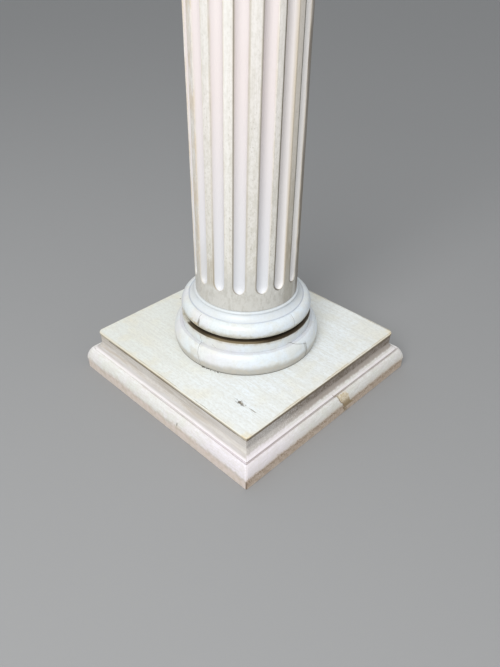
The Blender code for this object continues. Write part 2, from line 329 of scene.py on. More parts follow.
for side, moulding in enumerate(mouldings.values()):
    open_piece(moulding)
    pick_rims()
    bpy.ops.mesh.edge_face_add()
    along = Vector((math.cos(side * math.pi / 2), math.sin(side * math.pi / 2), 0))
    for way in (-along, along):
        pick(moulding, "faces", mitre_towards(way))
        bpy.ops.transform.translate(value=-way * MITRE_GAP / 2)
print(f"mitres closed, {MITRE_GAP / MM:.1f} mm apart")

# %% [markdown]
# Towards the left end of the front moulding, coat after coat of paint has filled the quirk, and it
# fades out. Its floor is squeezed up to the ledge in four steps, each from a point further left.

# %% Paint in the quirk
FILLED_FROM = (-30 * MM, -55 * MM, -80 * MM, -105 * MM)


def in_quirk(vertex):
    """A test for points of the quirk's floor, not of the ledge or the ovolo beside it."""
    deep = LEDGE_HEIGHT - QUIRK_DEPTH - 0.1 * MM < vertex.co.z < LEDGE_HEIGHT - 1.0 * MM
    return deep and LEDGE_HALF - 0.5 * MM < -vertex.co.y < LEDGE_HALF + QUIRK_WIDTH - 0.5 * MM


front = mouldings["front"]
open_piece(front)
for start in FILLED_FROM:
    count = pick(front, "verts", lambda v: in_quirk(v) and v.co.x < start)
    bpy.ops.transform.resize(value=(1, 1, 0.75), center_override=(0, 0, LEDGE_HEIGHT - 0.8 * MM))
    print(f"paint in the quirk from {start / MM:.0f} mm leftwards: {count} points")

# %% [markdown]
# Old brushed paint is never quite flat, and the fascia under the board has flaked near one corner.
# Both are low relief, so a Displace modifier pushes the surface along its normals by a cloud
# pattern. A vertex group keeps it off the underside, which has to stay flat on the floor.

# %% Waves of paint and flakes
def make_uneven(piece, name, test, grain, depth):
    """Push the points that pass a test in and out by a cloud pattern of one grain size."""
    open_piece(piece)
    count = pick(piece, "verts", test)
    bpy.ops.object.vertex_group_assign_new()
    piece.vertex_groups.active.name = name
    bpy.ops.object.mode_set(mode="OBJECT")
    texture = bpy.data.textures.new(piece.name + "_" + name, type="CLOUDS")
    texture.noise_scale = grain
    displace = piece.modifiers.new(name, "DISPLACE")
    displace.texture = texture
    displace.texture_coords = "LOCAL"
    displace.strength = depth
    displace.mid_level = 0.5
    displace.vertex_group = name
    bpy.ops.object.modifier_apply(modifier=displace.name)
    print(f"{piece.name}, {name}: {count} points")


def outside(half):
    """A test for points that lie further out than a half width of the square."""
    return lambda v: max(abs(v.co.x), abs(v.co.y)) > half


def in_flakes(vertex):
    """A test for the part of the right fascia that has flaked."""
    on_fascia = vertex.co.x > FASCIA_HALF - 2 * MM and 66 * MM < vertex.co.z < 83 * MM
    return on_fascia and vertex.co.y < -60 * MM


on_face = outside(FASCIA_HALF - 3 * MM)
for name, moulding in mouldings.items():
    make_uneven(moulding, "painted", lambda v: v.co.z > 1 * MM and on_face(v), 22 * MM, 0.6 * MM)
    if name == "right":
        make_uneven(moulding, "flaked", in_flakes, 3 * MM, 1.2 * MM)
    close_piece(moulding, PLANED)

# %% [markdown]
# ## The board on the plinth
#
# The board is rebated: a thin lip covers the mouldings, and the thicker middle drops between them.
# It is raised from an outline in the same way. Its top arris is eased with a small round.

# %% The board
board_corners = {(1, 1): 9.5 * MM, (-1, 1): 8 * MM, (-1, -1): 10 * MM, (1, -1): 6 * MM}
BODY_HALF = FASCIA_BACK - FIT_GAP
rings = [(BODY_HALF, BOARD_FOOT), (BODY_HALF, LIP_FOOT)]
rings += [(BOARD_HALF - 1.0 * MM, LIP_FOOT), (BOARD_HALF - 0.3 * MM, LIP_FOOT + 0.7 * MM)]
rings += [(BOARD_HALF - 0.2 * MM, LIP_FOOT + 2.0 * MM), (BOARD_HALF - 0.1 * MM, PLINTH_TOP - 1.8 * MM)]
rings += quarter(rings[-1], (BOARD_HALF - 1.8 * MM, PLINTH_TOP), 5, "upright")
rings += [(BOARD_HALF - inset * MM, PLINTH_TOP) for inset in (3, 6, 12, 24)]
board = square_outline("board_of_the_plinth", rings[0][0], board_corners, 119)
raise_rings(rings)
fill_openings()
bpy.ops.object.mode_set(mode="OBJECT")
print("board rings:", len(rings))

# %% [markdown]
# Near the front corner something heavy was set down on its edge. It left a short gouge and a
# scratch beside it, and the front moulding has a nick. Each is cut with a small stone-shaped tool: a
# sphere pressed to size, roughened, and subtracted with a Boolean.

# %% Knocks in the board and the front moulding
GOUGE = Vector((148 * MM, -163 * MM, PLINTH_TOP))
SCRATCH = Vector((177 * MM, -162 * MM, PLINTH_TOP))
NICK = Vector((60 * MM, -(PLINTH_HALF - 1.5 * MM), 30 * MM))


def cut_knock(target, place, size, turn=0.0):
    """Sink a rough stone shape with the given half sizes into a piece."""
    stone = new_piece("stone", bpy.ops.mesh.primitive_ico_sphere_add, subdivisions=4, radius=1)
    open_piece(stone)
    bpy.ops.mesh.select_all(action="SELECT")
    bpy.ops.transform.resize(value=size)
    turn_about_axis(math.radians(turn))
    bpy.ops.transform.translate(value=place)
    make_uneven(stone, "rough", lambda v: True, 3 * MM, 0.4 * min(size))
    choose(target)
    cut = target.modifiers.new("cut", "BOOLEAN")
    cut.operation = "DIFFERENCE"
    cut.object = stone
    bpy.ops.object.modifier_apply(modifier=cut.name)
    bpy.data.objects.remove(stone)


cut_knock(board, GOUGE, (6.5 * MM, 3.2 * MM, 1.6 * MM), -10)
cut_knock(board, SCRATCH, (11 * MM, 1.1 * MM, 1.0 * MM), -4)
cut_knock(mouldings["front"], NICK, (1.2 * MM, 1.6 * MM, 4.5 * MM))
at_edge = outside(BOARD_HALF - 2 * MM)
make_uneven(board, "rim", lambda v: v.co.z > LIP_FOOT + 0.2 * MM and at_edge(v), 16 * MM, 0.5 * MM)
close_piece(board, PLANED)

# %% [markdown]
# ## Turned pieces
#
# The base and the capital came off a lathe. A lathe piece is a profile and an axis: the profile is
# drawn point by point with extrusions, and then the Spin tool carries it once round. The seam is
# merged and the normals are turned outwards afterwards.

# %% The lathe
def draw_profile(name, points):
    """Open a new piece that is a line through (radius, height) points."""
    piece = new_piece(name, bpy.ops.mesh.primitive_plane_add, size=0.01)
    open_piece(piece)
    bpy.ops.mesh.select_all(action="SELECT")
    bpy.ops.mesh.merge(type="CENTER")
    bpy.ops.transform.translate(value=(points[0][0], 0, points[0][1]))
    for before, after in zip(points, points[1:]):
        step = (after[0] - before[0], 0, after[1] - before[1])
        bpy.ops.mesh.extrude_region_move(TRANSFORM_OT_translate={"value": step})
    return piece


def turn_on_lathe(name, outline, sides):
    """Draw an outline from axis to axis and spin it once round; leave the piece open."""
    piece = draw_profile(name, outline)
    spin_about_axis(sides, 2 * math.pi)
    bpy.ops.mesh.remove_doubles(threshold=0.01 * MM)
    face_outwards()
    return piece


# %% [markdown]
# The base has two rounds, a big one below and a smaller one above, with a plain fillet between
# them. Over the fillet a deep slot parts the rounds, and it is what the eye sees first, because it
# stays dark. A shallow hollow and a bead lead up to the shaft.

# %% Sizes of the base
FOOT_RADIUS = 142.8 * MM
LOWER_ROUND = BASE_HIGH.x
LOWER_WAIST = PLINTH_TOP + 20 * MM
FILLET_RADIUS = 130 * MM
FILLET_FOOT = PLINTH_TOP + 44.5 * MM
FILLET_TOP = PLINTH_TOP + 64.2 * MM
SLOT_FLOOR = 112 * MM
SLOT_TOP = PLINTH_TOP + 70.4 * MM
SLOT_MOUTH = 118 * MM
UPPER_ROUND = 130 * MM
UPPER_WAIST = PLINTH_TOP + 82 * MM
UPPER_TOP = PLINTH_TOP + 100.2 * MM
RING_RADIUS = 115 * MM
HOLLOW_LOW = PLINTH_TOP + 100.8 * MM
BEAD_RADIUS = 104 * MM
BEAD_FOOT = PLINTH_TOP + 111.2 * MM
BASE_TOP = BASE_HIGH.z
print(f"base: {(BASE_TOP - PLINTH_TOP) / MM:.1f} mm high, {2 * LOWER_ROUND / MM:.0f} mm across")

# %% Turn the base
outline = [(0, BASE_LOW.z), (FOOT_RADIUS - 1 * MM, BASE_LOW.z), (FOOT_RADIUS, BASE_LOW.z + 0.5 * MM)]
outline += quarter(outline[-1], (LOWER_ROUND, LOWER_WAIST), 10, "level")
outline += quarter(outline[-1], (FILLET_RADIUS + 0.8 * MM, FILLET_FOOT), 16, "upright")
outline += [(FILLET_RADIUS + 0.1 * MM, FILLET_FOOT - 0.3 * MM), (FILLET_RADIUS, FILLET_FOOT + 0.5 * MM)]
outline += [(FILLET_RADIUS, FILLET_FOOT + (FILLET_TOP - FILLET_FOOT) * k / 5) for k in range(1, 5)]
fillet_edge = (FILLET_RADIUS, FILLET_TOP - 1.4 * MM)
outline += quarter(fillet_edge, (FILLET_RADIUS - 1.6 * MM, FILLET_TOP), 4, "upright")
outline += [(SLOT_FLOOR + 1 * MM, FILLET_TOP), (SLOT_FLOOR, FILLET_TOP + 1 * MM)]
outline += [(SLOT_FLOOR, SLOT_TOP - 1 * MM), (SLOT_FLOOR + 1 * MM, SLOT_TOP), (SLOT_MOUTH, SLOT_TOP)]
outline += quarter(outline[-1], (UPPER_ROUND, UPPER_WAIST), 12, "level")
outline += quarter(outline[-1], (RING_RADIUS, UPPER_TOP), 14, "upright")
outline += [(114 * MM, UPPER_TOP - 0.5 * MM), (113.4 * MM, HOLLOW_LOW)]
outline += quarter(outline[-1], (103.4 * MM, BEAD_FOOT), 8, "level", 0.5)
outline += quarter(outline[-1], (BEAD_RADIUS + 0.2 * MM, BEAD_FOOT + 2.4 * MM), 3, "level")
outline += quarter(outline[-1], (SHAFT_RADIUS + 0.6 * MM, BASE_TOP), 5, "upright")
outline += [(0, BASE_TOP)]
base = turn_on_lathe("turned_base_of_the_column", outline, 288)
print("base profile:", len(outline), "points")

# %% [markdown]
# The turner's blank was glued up from blocks, four to a ring. The glue lines have opened a little,
# and two of them have cracked on sideways. A line is cut where it lies. Three bisecting planes give
# the faces round it two lips and a floor, and the floor is shrunk inwards. The floor's points carry
# a number, an attribute, so that the paint can be dark there.

# %% A tool that opens a line
LINE_DEPTH = 0.5 * MM


def cut_line(piece, turn, height, low, high, reach, lean=0.0, width=1 * MM):
    """Open a line that crosses a turn at a height and leans, in degrees, to the left as it rises."""
    along = Vector((math.cos(math.radians(turn)), math.sin(math.radians(turn)), 0))
    across = Vector((-along.y, along.x, 0))
    normal = across * math.cos(math.radians(lean)) + Vector((0, 0, math.sin(math.radians(lean))))
    middle = Vector((0, 0, height))

    def near(face):
        centre = face.calc_center_median()
        beside = abs((centre - middle).dot(normal)) < 5 * MM and abs(centre.dot(across)) < reach
        return beside and centre.dot(along) > SHAFT_RADIUS and low < centre.z < high

    for shift in (-width / 2, width / 2, 0):
        pick(piece, "faces", near)
        bpy.ops.mesh.bisect(plane_co=middle + normal * shift, plane_no=normal)
    bpy.ops.transform.shrink_fatten(value=-LINE_DEPTH)
    drawing = bmesh.from_edit_mesh(piece.data)
    mark = drawing.verts.layers.float.get("open_line") or drawing.verts.layers.float.new("open_line")
    floor_of_line = [vertex for vertex in drawing.verts if vertex.select]
    for vertex in floor_of_line:
        vertex[mark] = 1.0
    print(f"line at {turn} degrees: {len(floor_of_line)} points on its floor")


# %% Open joints and cracks in the base
BASE_FOOT = BASE_LOW.z + 1 * MM
# A joint's height, its lowest and highest point, and its reach to either side.
UPPER_JOINT = (UPPER_WAIST, SLOT_TOP + 0.5 * MM, UPPER_TOP - 1 * MM, 12 * MM)
LOWER_JOINT = (120 * MM, BASE_FOOT, 118 * MM, 12 * MM)
for turn in (-90.5, 0, 91, 179):
    cut_line(base, turn, *UPPER_JOINT)
cut_line(base, -84.5, 120 * MM, BASE_FOOT, FILLET_TOP - 3 * MM, 14 * MM, lean=15)
for turn in (97, 188):
    cut_line(base, turn, *LOWER_JOINT)
cut_line(base, 8.7, *LOWER_JOINT, width=2.4 * MM)
cut_line(base, 1, 131 * MM, 122 * MM, 140 * MM, 19 * MM, lean=70)
cut_line(base, -73.3, 138 * MM, 134 * MM, 142 * MM, 4 * MM, lean=55)


def in_base_skin(vertex):
    """A test for points of the base's skin, away from the board, the shaft and its widest line."""
    radius = vertex.co.xy.length
    return vertex.co.z > BASE_LOW.z + 2 * MM and SHAFT_RADIUS + 2 * MM < radius < LOWER_ROUND - 0.5 * MM


make_uneven(base, "skin", in_base_skin, 30 * MM, 0.5 * MM)
close_piece(base, TURNED)

# %% [markdown]
# ## The fluted shaft
#
# Sixteen flutes run up the shaft, with flats between them that are two thirds as wide. They stop
# short of both ends in a round. One sixteenth of the shaft is enough to model. A vertical line is
# spun through 22.5 degrees, its columns of points are drawn towards the axis to the depth of a
# round cutter, and the sector is then copied round with the Spin tool's duplicates.

# %% Sizes of a flute
FLUTES = 16
PITCH = 2 * math.pi / FLUTES
FLUTE_TURN = math.radians(14.2)
# The sector has ten columns of points on either side of the flute's middle, and the edge of the
# flute is the sixth. A tip step of one is the very tip, and at zero the flute has its full width.
HALF_COLUMNS = 10
EDGE_COLUMN = 6
COLUMN = PITCH / (2 * HALF_COLUMNS)
FLUTE_DEPTH = 8 * MM
FLUTE_TIP = 36.2 * MM
FLUTE_ROUND = 15 * MM
TIP_STEPS = (1.0, 0.985, 0.94, 0.86, 0.74, 0.58, 0.36, 0.0)
ROW_SPACING = 20 * MM
SHAFT_FOOT = SHAFT_LOW.z
SHAFT_LENGTH = SHAFT_HIGH.z - SHAFT_FOOT
TOP_SHARE = 5 / 6

flute_half_width = SHAFT_RADIUS * math.sin(EDGE_COLUMN * COLUMN)
cutter_radius = (flute_half_width ** 2 + FLUTE_DEPTH ** 2) / (2 * FLUTE_DEPTH)
print(f"flute {2 * flute_half_width / MM:.1f} mm wide, cutter radius {cutter_radius / MM:.1f} mm")


def shaft_radius(height):
    """Straight for a third of the height, then drawn in on a cosine to five sixths."""
    rise = max(0.0, (height / SHAFT_LENGTH - 1 / 3) / (2 / 3))
    return SHAFT_RADIUS * math.cos(rise * math.acos(TOP_SHARE))


def sink_of(column):
    """Depth of the flute under the shaft's surface at a column counted from its middle."""
    if abs(column) >= EDGE_COLUMN:
        return 0.0
    across = flute_half_width * column / EDGE_COLUMN
    return math.sqrt(cutter_radius ** 2 - across ** 2) - (cutter_radius - FLUTE_DEPTH)


# %% The heights of the rows
tip_rows = {}
for step in TIP_STEPS:
    opening = math.sqrt(1 - step ** 2)
    rise = FLUTE_TIP + FLUTE_ROUND * (1 - step)
    tip_rows[round(rise, 6)] = opening
    tip_rows[round(SHAFT_LENGTH - rise, 6)] = opening
straight_low = FLUTE_TIP + FLUTE_ROUND
straight_count = round((SHAFT_LENGTH - 2 * straight_low) / ROW_SPACING)
straight_step = (SHAFT_LENGTH - 2 * straight_low) / straight_count
heights = [0.0, 0.4 * MM, 9 * MM, 18 * MM, 27 * MM, 35 * MM]
heights += [SHAFT_LENGTH - height for height in heights]
heights += [straight_low + straight_step * count for count in range(1, straight_count)]
heights = sorted(heights + list(tip_rows))
print("rows of points:", len(heights))

# %% One sixteenth of the shaft
upright_line = [(SHAFT_RADIUS - 0.4 * MM, 0.0)]
upright_line += [(shaft_radius(height), height) for height in heights[1:]]
shaft = draw_profile("shaft_with_flutes", upright_line)
spin_about_axis(2 * HALF_COLUMNS, PITCH)
turn_about_axis(PITCH / 2)


def in_column(column, low, high):
    """A test for points of one column of the sector between two heights."""
    angle = column * COLUMN
    return lambda v: abs(math.atan2(v.co.y, v.co.x) - angle) < 0.2 * COLUMN and low < v.co.z < high


def draw_in(sink):
    """Scale the selection towards the axis, by a depth that is true at the shaft's full radius."""
    scale = 1 - sink / SHAFT_RADIUS
    bpy.ops.transform.resize(value=(scale, scale, 1), center_override=(0, 0, 0))


# %% Hollow the straight part of the flute
margin = 0.3 * MM
for column in range(1 - EDGE_COLUMN, EDGE_COLUMN):
    pick(shaft, "verts", in_column(column, straight_low - margin, SHAFT_LENGTH - straight_low + margin))
    draw_in(sink_of(column))
print(f"flute hollowed to {sink_of(0) / MM:.1f} mm")

# %% [markdown]
# In the rounded ends the flute gets narrower and shallower row by row. The columns are squeezed
# towards the middle, from the inside out so that no two are ever in the same place, and the flats
# beside them spread out to fill the room.

# %% Round the ends of the flute
for height, opening in tip_rows.items():
    if opening > 0.999:
        continue
    for column in sorted(range(-HALF_COLUMNS + 1, HALF_COLUMNS), key=abs):
        distance = min(abs(column), EDGE_COLUMN) * COLUMN * opening
        if abs(column) > EDGE_COLUMN:
            edge = EDGE_COLUMN * COLUMN * opening
            spread = (abs(column) - EDGE_COLUMN) / (HALF_COLUMNS - EDGE_COLUMN)
            distance = edge + spread * (PITCH / 2 - edge)
        pick(shaft, "verts", in_column(column, height - 0.05 * MM, height + 0.05 * MM))
        turn_about_axis(math.copysign(distance, column) - column * COLUMN)
        draw_in(sink_of(column) * opening)
bpy.ops.mesh.select_all(action="SELECT")
bpy.ops.mesh.remove_doubles(threshold=0.02 * MM)
bpy.ops.object.mode_set(mode="OBJECT")
print("sector:", len(shaft.data.vertices), "points")

# %% [markdown]
# The paint is rubbed through along the edges of the flutes, and dirt and painted shade lie just
# inside their left edges. The material has to know where those edges are, so the sector carries a
# number for each point: one on the right edge of the flute, minus one on its left edge, fading to
# zero two columns away. The copies inherit it.

# %% Mark the edges of the flute
edge_of_flute = shaft.data.attributes.new("edge_of_flute", "FLOAT", "POINT")
for number, vertex in enumerate(shaft.data.vertices):
    turn = math.atan2(vertex.co.y, vertex.co.x)
    height = min(vertex.co.z, SHAFT_LENGTH - vertex.co.z)
    step = 1 - min(max((height - FLUTE_TIP) / FLUTE_ROUND, 0), 1)
    edge_turn = EDGE_COLUMN * COLUMN * math.sqrt(1 - step ** 2)
    fluted = height > FLUTE_TIP - 0.1 * MM
    closeness = max(0.0, 1 - abs(abs(turn) - edge_turn) / (2 * COLUMN)) if fluted else 0.0
    edge_of_flute.data[number].value = math.copysign(closeness, turn)
print("points near an edge:", sum(1 for point in edge_of_flute.data if point.value != 0))

# %% Copy the sector round and close the ends
open_piece(shaft)
bpy.ops.mesh.select_all(action="SELECT")
turn_about_axis(FLUTE_TURN)
spin_about_axis(FLUTES - 1, PITCH * (FLUTES - 1), dupli=True)
bpy.ops.mesh.remove_doubles(threshold=0.02 * MM)
fill_openings()
print("whole shaft:", len(bmesh.from_edit_mesh(shaft.data).verts), "points")

# %% [markdown]
# The flutes were cut by hand. The one that faces the camera stands two degrees too far to the right.
# It is turned with proportional editing, so the flats beside it give way. All of them wander a
# little to the right over the lower half metre, and then run straight. A Simple Deform modifier
# with a limit twists the shaft by that much, before it is lifted to its place.

# %% Uneven and wandering flutes
UNEVEN_BY = math.radians(2)
WANDER_BY = math.radians(2.75)
WANDER_HEIGHT = 500 * MM


def in_uneven_flute(vertex):
    """A test for the points of the flute that stands a little too far to one side."""
    from_middle = math.atan2(vertex.co.y, vertex.co.x) - (FLUTE_TURN - 2 * PITCH)
    fluted = FLUTE_TIP < vertex.co.z < SHAFT_LENGTH - FLUTE_TIP
    return fluted and abs(from_middle) < (EDGE_COLUMN + 0.5) * COLUMN


pick(shaft, "verts", in_uneven_flute)
turn_about_axis(UNEVEN_BY, 4 * COLUMN * SHAFT_RADIUS)
bpy.ops.object.mode_set(mode="OBJECT")
twist = shaft.modifiers.new("wander", "SIMPLE_DEFORM")
twist.deform_method = "TWIST"
twist.deform_axis = "Z"
twist.limits = (0.0, WANDER_HEIGHT / SHAFT_LENGTH)
twist.angle = WANDER_BY
bpy.ops.object.modifier_apply(modifier=twist.name)
print(f"flutes wander {math.degrees(WANDER_BY)} degrees over {WANDER_HEIGHT / MM:.0f} mm")

# %% Lift the shaft to its place
open_piece(shaft)
bpy.ops.mesh.select_all(action="SELECT")
bpy.ops.transform.translate(value=(0, 0, SHAFT_FOOT))
skin_foot = SHAFT_FOOT + 1 * MM
skin_top = SHAFT_HIGH.z - 1 * MM
make_uneven(shaft, "skin", lambda v: skin_foot < v.co.z < skin_top, 35 * MM, 0.6 * MM)
close_piece(shaft, FLUTED)

# %% [markdown]
# ## The capital
#
# The top of the column is not in the picture, so it is finished in keeping with the rest, and
# plainer: an astragal, a neck, two annulets and a round echinus under a square abacus. That is what
# a joiner's Doric capital has.

# %% The turned capital
TOP_RADIUS = SHAFT_RADIUS * TOP_SHARE
THIRD = SHAFT_RADIUS / 3
ASTRAGAL = SHAFT_RADIUS / 6
ANNULET = 3.5 * MM
ANNULET_HEIGHT = 4.2 * MM
CAPITAL_FOOT = CAPITAL_LOW.z
CAPITAL_TOP = CAPITAL_HIGH.z
bead_top = CAPITAL_FOOT + 0.7 * ASTRAGAL
neck_foot = CAPITAL_FOOT + ASTRAGAL
neck_top = neck_foot + THIRD
outline = [(0, CAPITAL_FOOT), (TOP_RADIUS, CAPITAL_FOOT)]
bead_waist = (TOP_RADIUS + 8.5 * MM, (CAPITAL_FOOT + bead_top) / 2)
outline += quarter(outline[-1], bead_waist, 8, "level")
outline += quarter(bead_waist, (TOP_RADIUS + ANNULET, bead_top), 8, "upright")
outline += [(TOP_RADIUS + ANNULET, neck_foot - 0.6 * MM), (TOP_RADIUS + ANNULET - 0.6 * MM, neck_foot)]
outline += [(TOP_RADIUS + 0.5 * MM, neck_foot), (TOP_RADIUS, neck_foot + 0.5 * MM)]
outline += [(TOP_RADIUS, neck_top)]
for count in (1, 2):
    radius = TOP_RADIUS + count * ANNULET
    foot = outline[-1][1]
    outline += [(radius - 0.5 * MM, foot), (radius, foot + 0.5 * MM), (radius, foot + ANNULET_HEIGHT)]
echinus = (CAPITAL_HIGH.x, CAPITAL_TOP - 4 * MM)
outline += quarter(outline[-1], echinus, 14, "level")
outline += quarter(echinus, (CAPITAL_HIGH.x - 2 * MM, CAPITAL_TOP), 4, "upright")
outline += [(0, CAPITAL_TOP)]
capital = turn_on_lathe("capital_turning", outline, 192)
close_piece(capital, TURNED)

# %% The abacus
ABACUS_HALF = ABACUS_HIGH.x
SLAB_HALF = ABACUS_HALF - 4.5 * MM
FILLET = 8 * MM
fillet_foot = ABACUS_HIGH.z - FILLET
abacus_corners = {(x, y): 1.5 * MM for x in (-1, 1) for y in (-1, 1)}
rings = [(SLAB_HALF - 0.8 * MM, ABACUS_LOW.z), (SLAB_HALF, ABACUS_LOW.z + 0.8 * MM)]
rings += [(SLAB_HALF, fillet_foot - 4.5 * MM)]
rings += quarter(rings[-1], (ABACUS_HALF - 0.6 * MM, fillet_foot - 0.4 * MM), 8, "upright")
rings += [(ABACUS_HALF, fillet_foot + 0.3 * MM), (ABACUS_HALF, ABACUS_HIGH.z - 1.2 * MM)]
rings += quarter(rings[-1], (ABACUS_HALF - 1.2 * MM, ABACUS_HIGH.z), 4, "upright")
abacus = square_outline("square_abacus", rings[0][0], abacus_corners, 39)
raise_rings(rings)
fill_openings()
close_piece(abacus, PLANED)

# %% [markdown]
# ## Paint
#
# The column is painted wood all over, so each of its finishes is a Principled shader whose colour is
# built up by nodes. Two helpers serve them all. One turns the hex colours of a paint chart to the
# linear values that a shader reads. The other adds a node with its settings and its inputs.

# %% Helpers for materials
def linear(hex_colour):
    """An sRGB hex colour as linear red, green, blue and alpha."""
    channels = [int(hex_colour[place:place + 2], 16) / 255 for place in (1, 3, 5)]
    curved = [c / 12.92 if c <= 0.04045 else ((c + 0.055) / 1.055) ** 2.4 for c in channels]
    return (*curved, 1.0)


def add(tree, kind, inputs=None, **settings):
    """Add a node. Settings are its properties; inputs are sockets or values by name or number."""
    node = tree.nodes.new("ShaderNode" + kind)
    for name, value in settings.items():
        setattr(node, name, value)
    for socket, value in (inputs or {}).items():
        if isinstance(value, bpy.types.NodeSocket):
            tree.links.new(value, node.inputs[socket])
        else:
            node.inputs[socket].default_value = value
    return node


# %% [markdown]
# Dirt, wear and stains keep to the parts of a moulding, so a finish has to know where a point lies.
# The pieces have their origin on the column's axis, so their Object coordinates are the column's
# own: height, radius, turn about the axis, and half width across the square. A mask is a window on
# one of these, from zero outside to one inside, and noise makes it patchy. A finish is a ground
# colour with coats laid over it one by one, each as strong as its masks and a last number say.

# %% Where a point lies
# A mask that is open at one end is closed far off, by one of these. The capital is above the high
# one, so the stains of the plinth and the base stay off it.
LOW_END = -1.0
HIGH_END = 1.0


def places(tree):
    """Sockets for the whole coordinate, x, y, z, their sizes, half width, radius and turn."""
    whole = add(tree, "TexCoord").outputs["Object"]
    x, y, z = add(tree, "SeparateXYZ", {0: whole}).outputs
    size_x = add(tree, "Math", {0: x}, operation="ABSOLUTE").outputs[0]
    size_y = add(tree, "Math", {0: y}, operation="ABSOLUTE").outputs[0]
    level = add(tree, "VectorMath", {0: whole, 1: (1, 1, 0)}, operation="MULTIPLY").outputs[0]
    return SimpleNamespace(
        whole=whole, x=x, y=y, z=z, size_x=size_x, size_y=size_y,
        half=add(tree, "Math", {0: size_x, 1: size_y}, operation="MAXIMUM").outputs[0],
        corner=add(tree, "Math", {0: size_x, 1: size_y}, operation="MINIMUM").outputs[0],
        radius=add(tree, "VectorMath", {0: level}, operation="LENGTH").outputs["Value"],
        turn=add(tree, "Math", {0: y, 1: x}, operation="ARCTAN2").outputs[0],
    )


# %% Masks made from a place
def both(*masks):
    """The product of several masks or numbers, of which the first is a mask."""
    product = masks[0]
    for mask in masks[1:]:
        product = add(product.id_data, "Math", {0: product, 1: mask}, operation="MULTIPLY").outputs[0]
    return product


def ramp(value, low, high):
    """A mask that climbs smoothly from zero at a low value of a socket to one at a high value."""
    inputs = {0: value, 1: low, 2: high}
    return add(value.id_data, "MapRange", inputs, interpolation_type="SMOOTHSTEP").outputs[0]


def between(value, low, high, soft):
    """A mask that is one between two values of a socket and fades over a soft width outside them."""
    return both(ramp(value, low - soft, low), ramp(value, high + soft, high))


def above(value, low, soft):
    """A mask that is one above a value of a socket and fades over a soft width below it."""
    return between(value, low, HIGH_END, soft)


def below(value, high, soft):
    """A mask that is one below a value of a socket and fades over a soft width above it."""
    return between(value, LOW_END, high, soft)


def facing(at, low, high, soft):
    """A mask for the part of a round piece between two turns about the axis, in degrees."""
    return between(at.turn, *[math.radians(angle) for angle in (low, high, soft)])


def spot(at, place, size):
    """A soft spot at a place with three half sizes."""
    tree = at.whole.id_data
    reach = add(tree, "VectorMath", {0: at.whole, 1: place}, operation="SUBTRACT").outputs[0]
    shape = [1 / half_size for half_size in size]
    reach = add(tree, "VectorMath", {0: reach, 1: shape}, operation="MULTIPLY").outputs[0]
    distance = add(tree, "VectorMath", {0: reach}, operation="LENGTH").outputs["Value"]
    return below(distance, 0.6, 0.5)


# %% Patterns that make a mask patchy
# A grain is a real size, such as 9 mm for blotches of dust. Bristle marks, grain and grit are finer
# than a point of the render, so their grains are 2 to 3 mm, as coarse as they need to be to show.
def noise(at, grain, stretch=(1, 1, 1), detail=3.0):
    """Plain noise from zero to one whose patches are about one grain, in metres, wide."""
    tree = at.whole.id_data
    scale = [1 / (grain * part) for part in stretch]
    spread = add(tree, "Mapping", {"Vector": at.whole, "Scale": scale}).outputs[0]
    return add(tree, "TexNoise", {"Vector": spread, "Scale": 1.0, "Detail": detail}).outputs[0]


def cloud(at, grain, low, high, stretch=(1, 1, 1), detail=3.0):
    """Patches of noise: zero below a low threshold, one above a high one."""
    return ramp(noise(at, grain, stretch, detail), low, high)


def shifted(value, wave, reach):
    """A coordinate moved to and fro by noise, so that a mask made from it has a wandering edge."""
    tree = value.id_data
    centred = add(tree, "Math", {0: wave, 1: 0.5}, operation="SUBTRACT").outputs[0]
    return add(tree, "Math", {0: centred, 1: 2 * reach, 2: value}, operation="MULTIPLY_ADD").outputs[0]


# %% A finish and its coats
def new_finish(name, roughness):
    """A painted material, its tree and shader, and the sockets that say where a point lies."""
    material = bpy.data.materials.new(name)
    material.use_nodes = True
    tree = material.node_tree
    shader = tree.nodes["Principled BSDF"]
    shader.inputs["Roughness"].default_value = roughness
    print("finish:", name)
    return material, tree, shader, places(tree)


def within(area, coats):
    """The same coats, kept to one area by its mask."""
    return [(hex_colour, area, *masks) for hex_colour, *masks in coats]


def lay_coats(shader, ground, coats):
    """Lay colours over a ground colour, each as strong as the product of its masks."""
    tree = shader.id_data
    colour = add(tree, "RGB").outputs[0]
    colour.default_value = linear(ground)
    for hex_colour, *masks in coats:
        mix = add(tree, "Mix", {0: both(*masks), 6: colour, 7: linear(hex_colour)}, data_type="RGBA")
        colour = mix.outputs[2]
    tree.links.new(colour, shader.inputs["Base Color"])
    print(f"{len(coats)} coats over {ground}")


def emboss(shader, depth, *heights):
    """Bump a shader by the sum of height sockets, with a real depth in metres for each."""
    tree = shader.id_data
    total = heights[0]
    for height in heights[1:]:
        total = add(tree, "Math", {0: total, 1: height}, operation="ADD").outputs[0]
    bump = add(tree, "Bump", {"Height": total, "Distance": depth})
    tree.links.new(bump.outputs[0], shader.inputs["Normal"])


# %% [markdown]
# ### Board
#
# Oil paint, brushed out along the front edge of a softwood board and then handled for decades. It
# is a greenish white, creamy where it has yellowed, and fine brush lines run from side to side.
# Towards the right it is painted brighter and bluer, as painted cool light from the right. The
# arris is rubbed to cream. A thin brown line runs just inside it, but for its left end. The edge
# itself is olive brown in places, and dark all along the right side. The knocks hold dirt, and
# crumbs of it lie at the foot of the base. Round that foot the board is darkened by dust and by
# painted contact shade. The abacus has the same paint.

# %% Patterns in the board's paint
finish, tree, shader, at = new_finish("white oil paint brushed on a softwood board", 0.5)
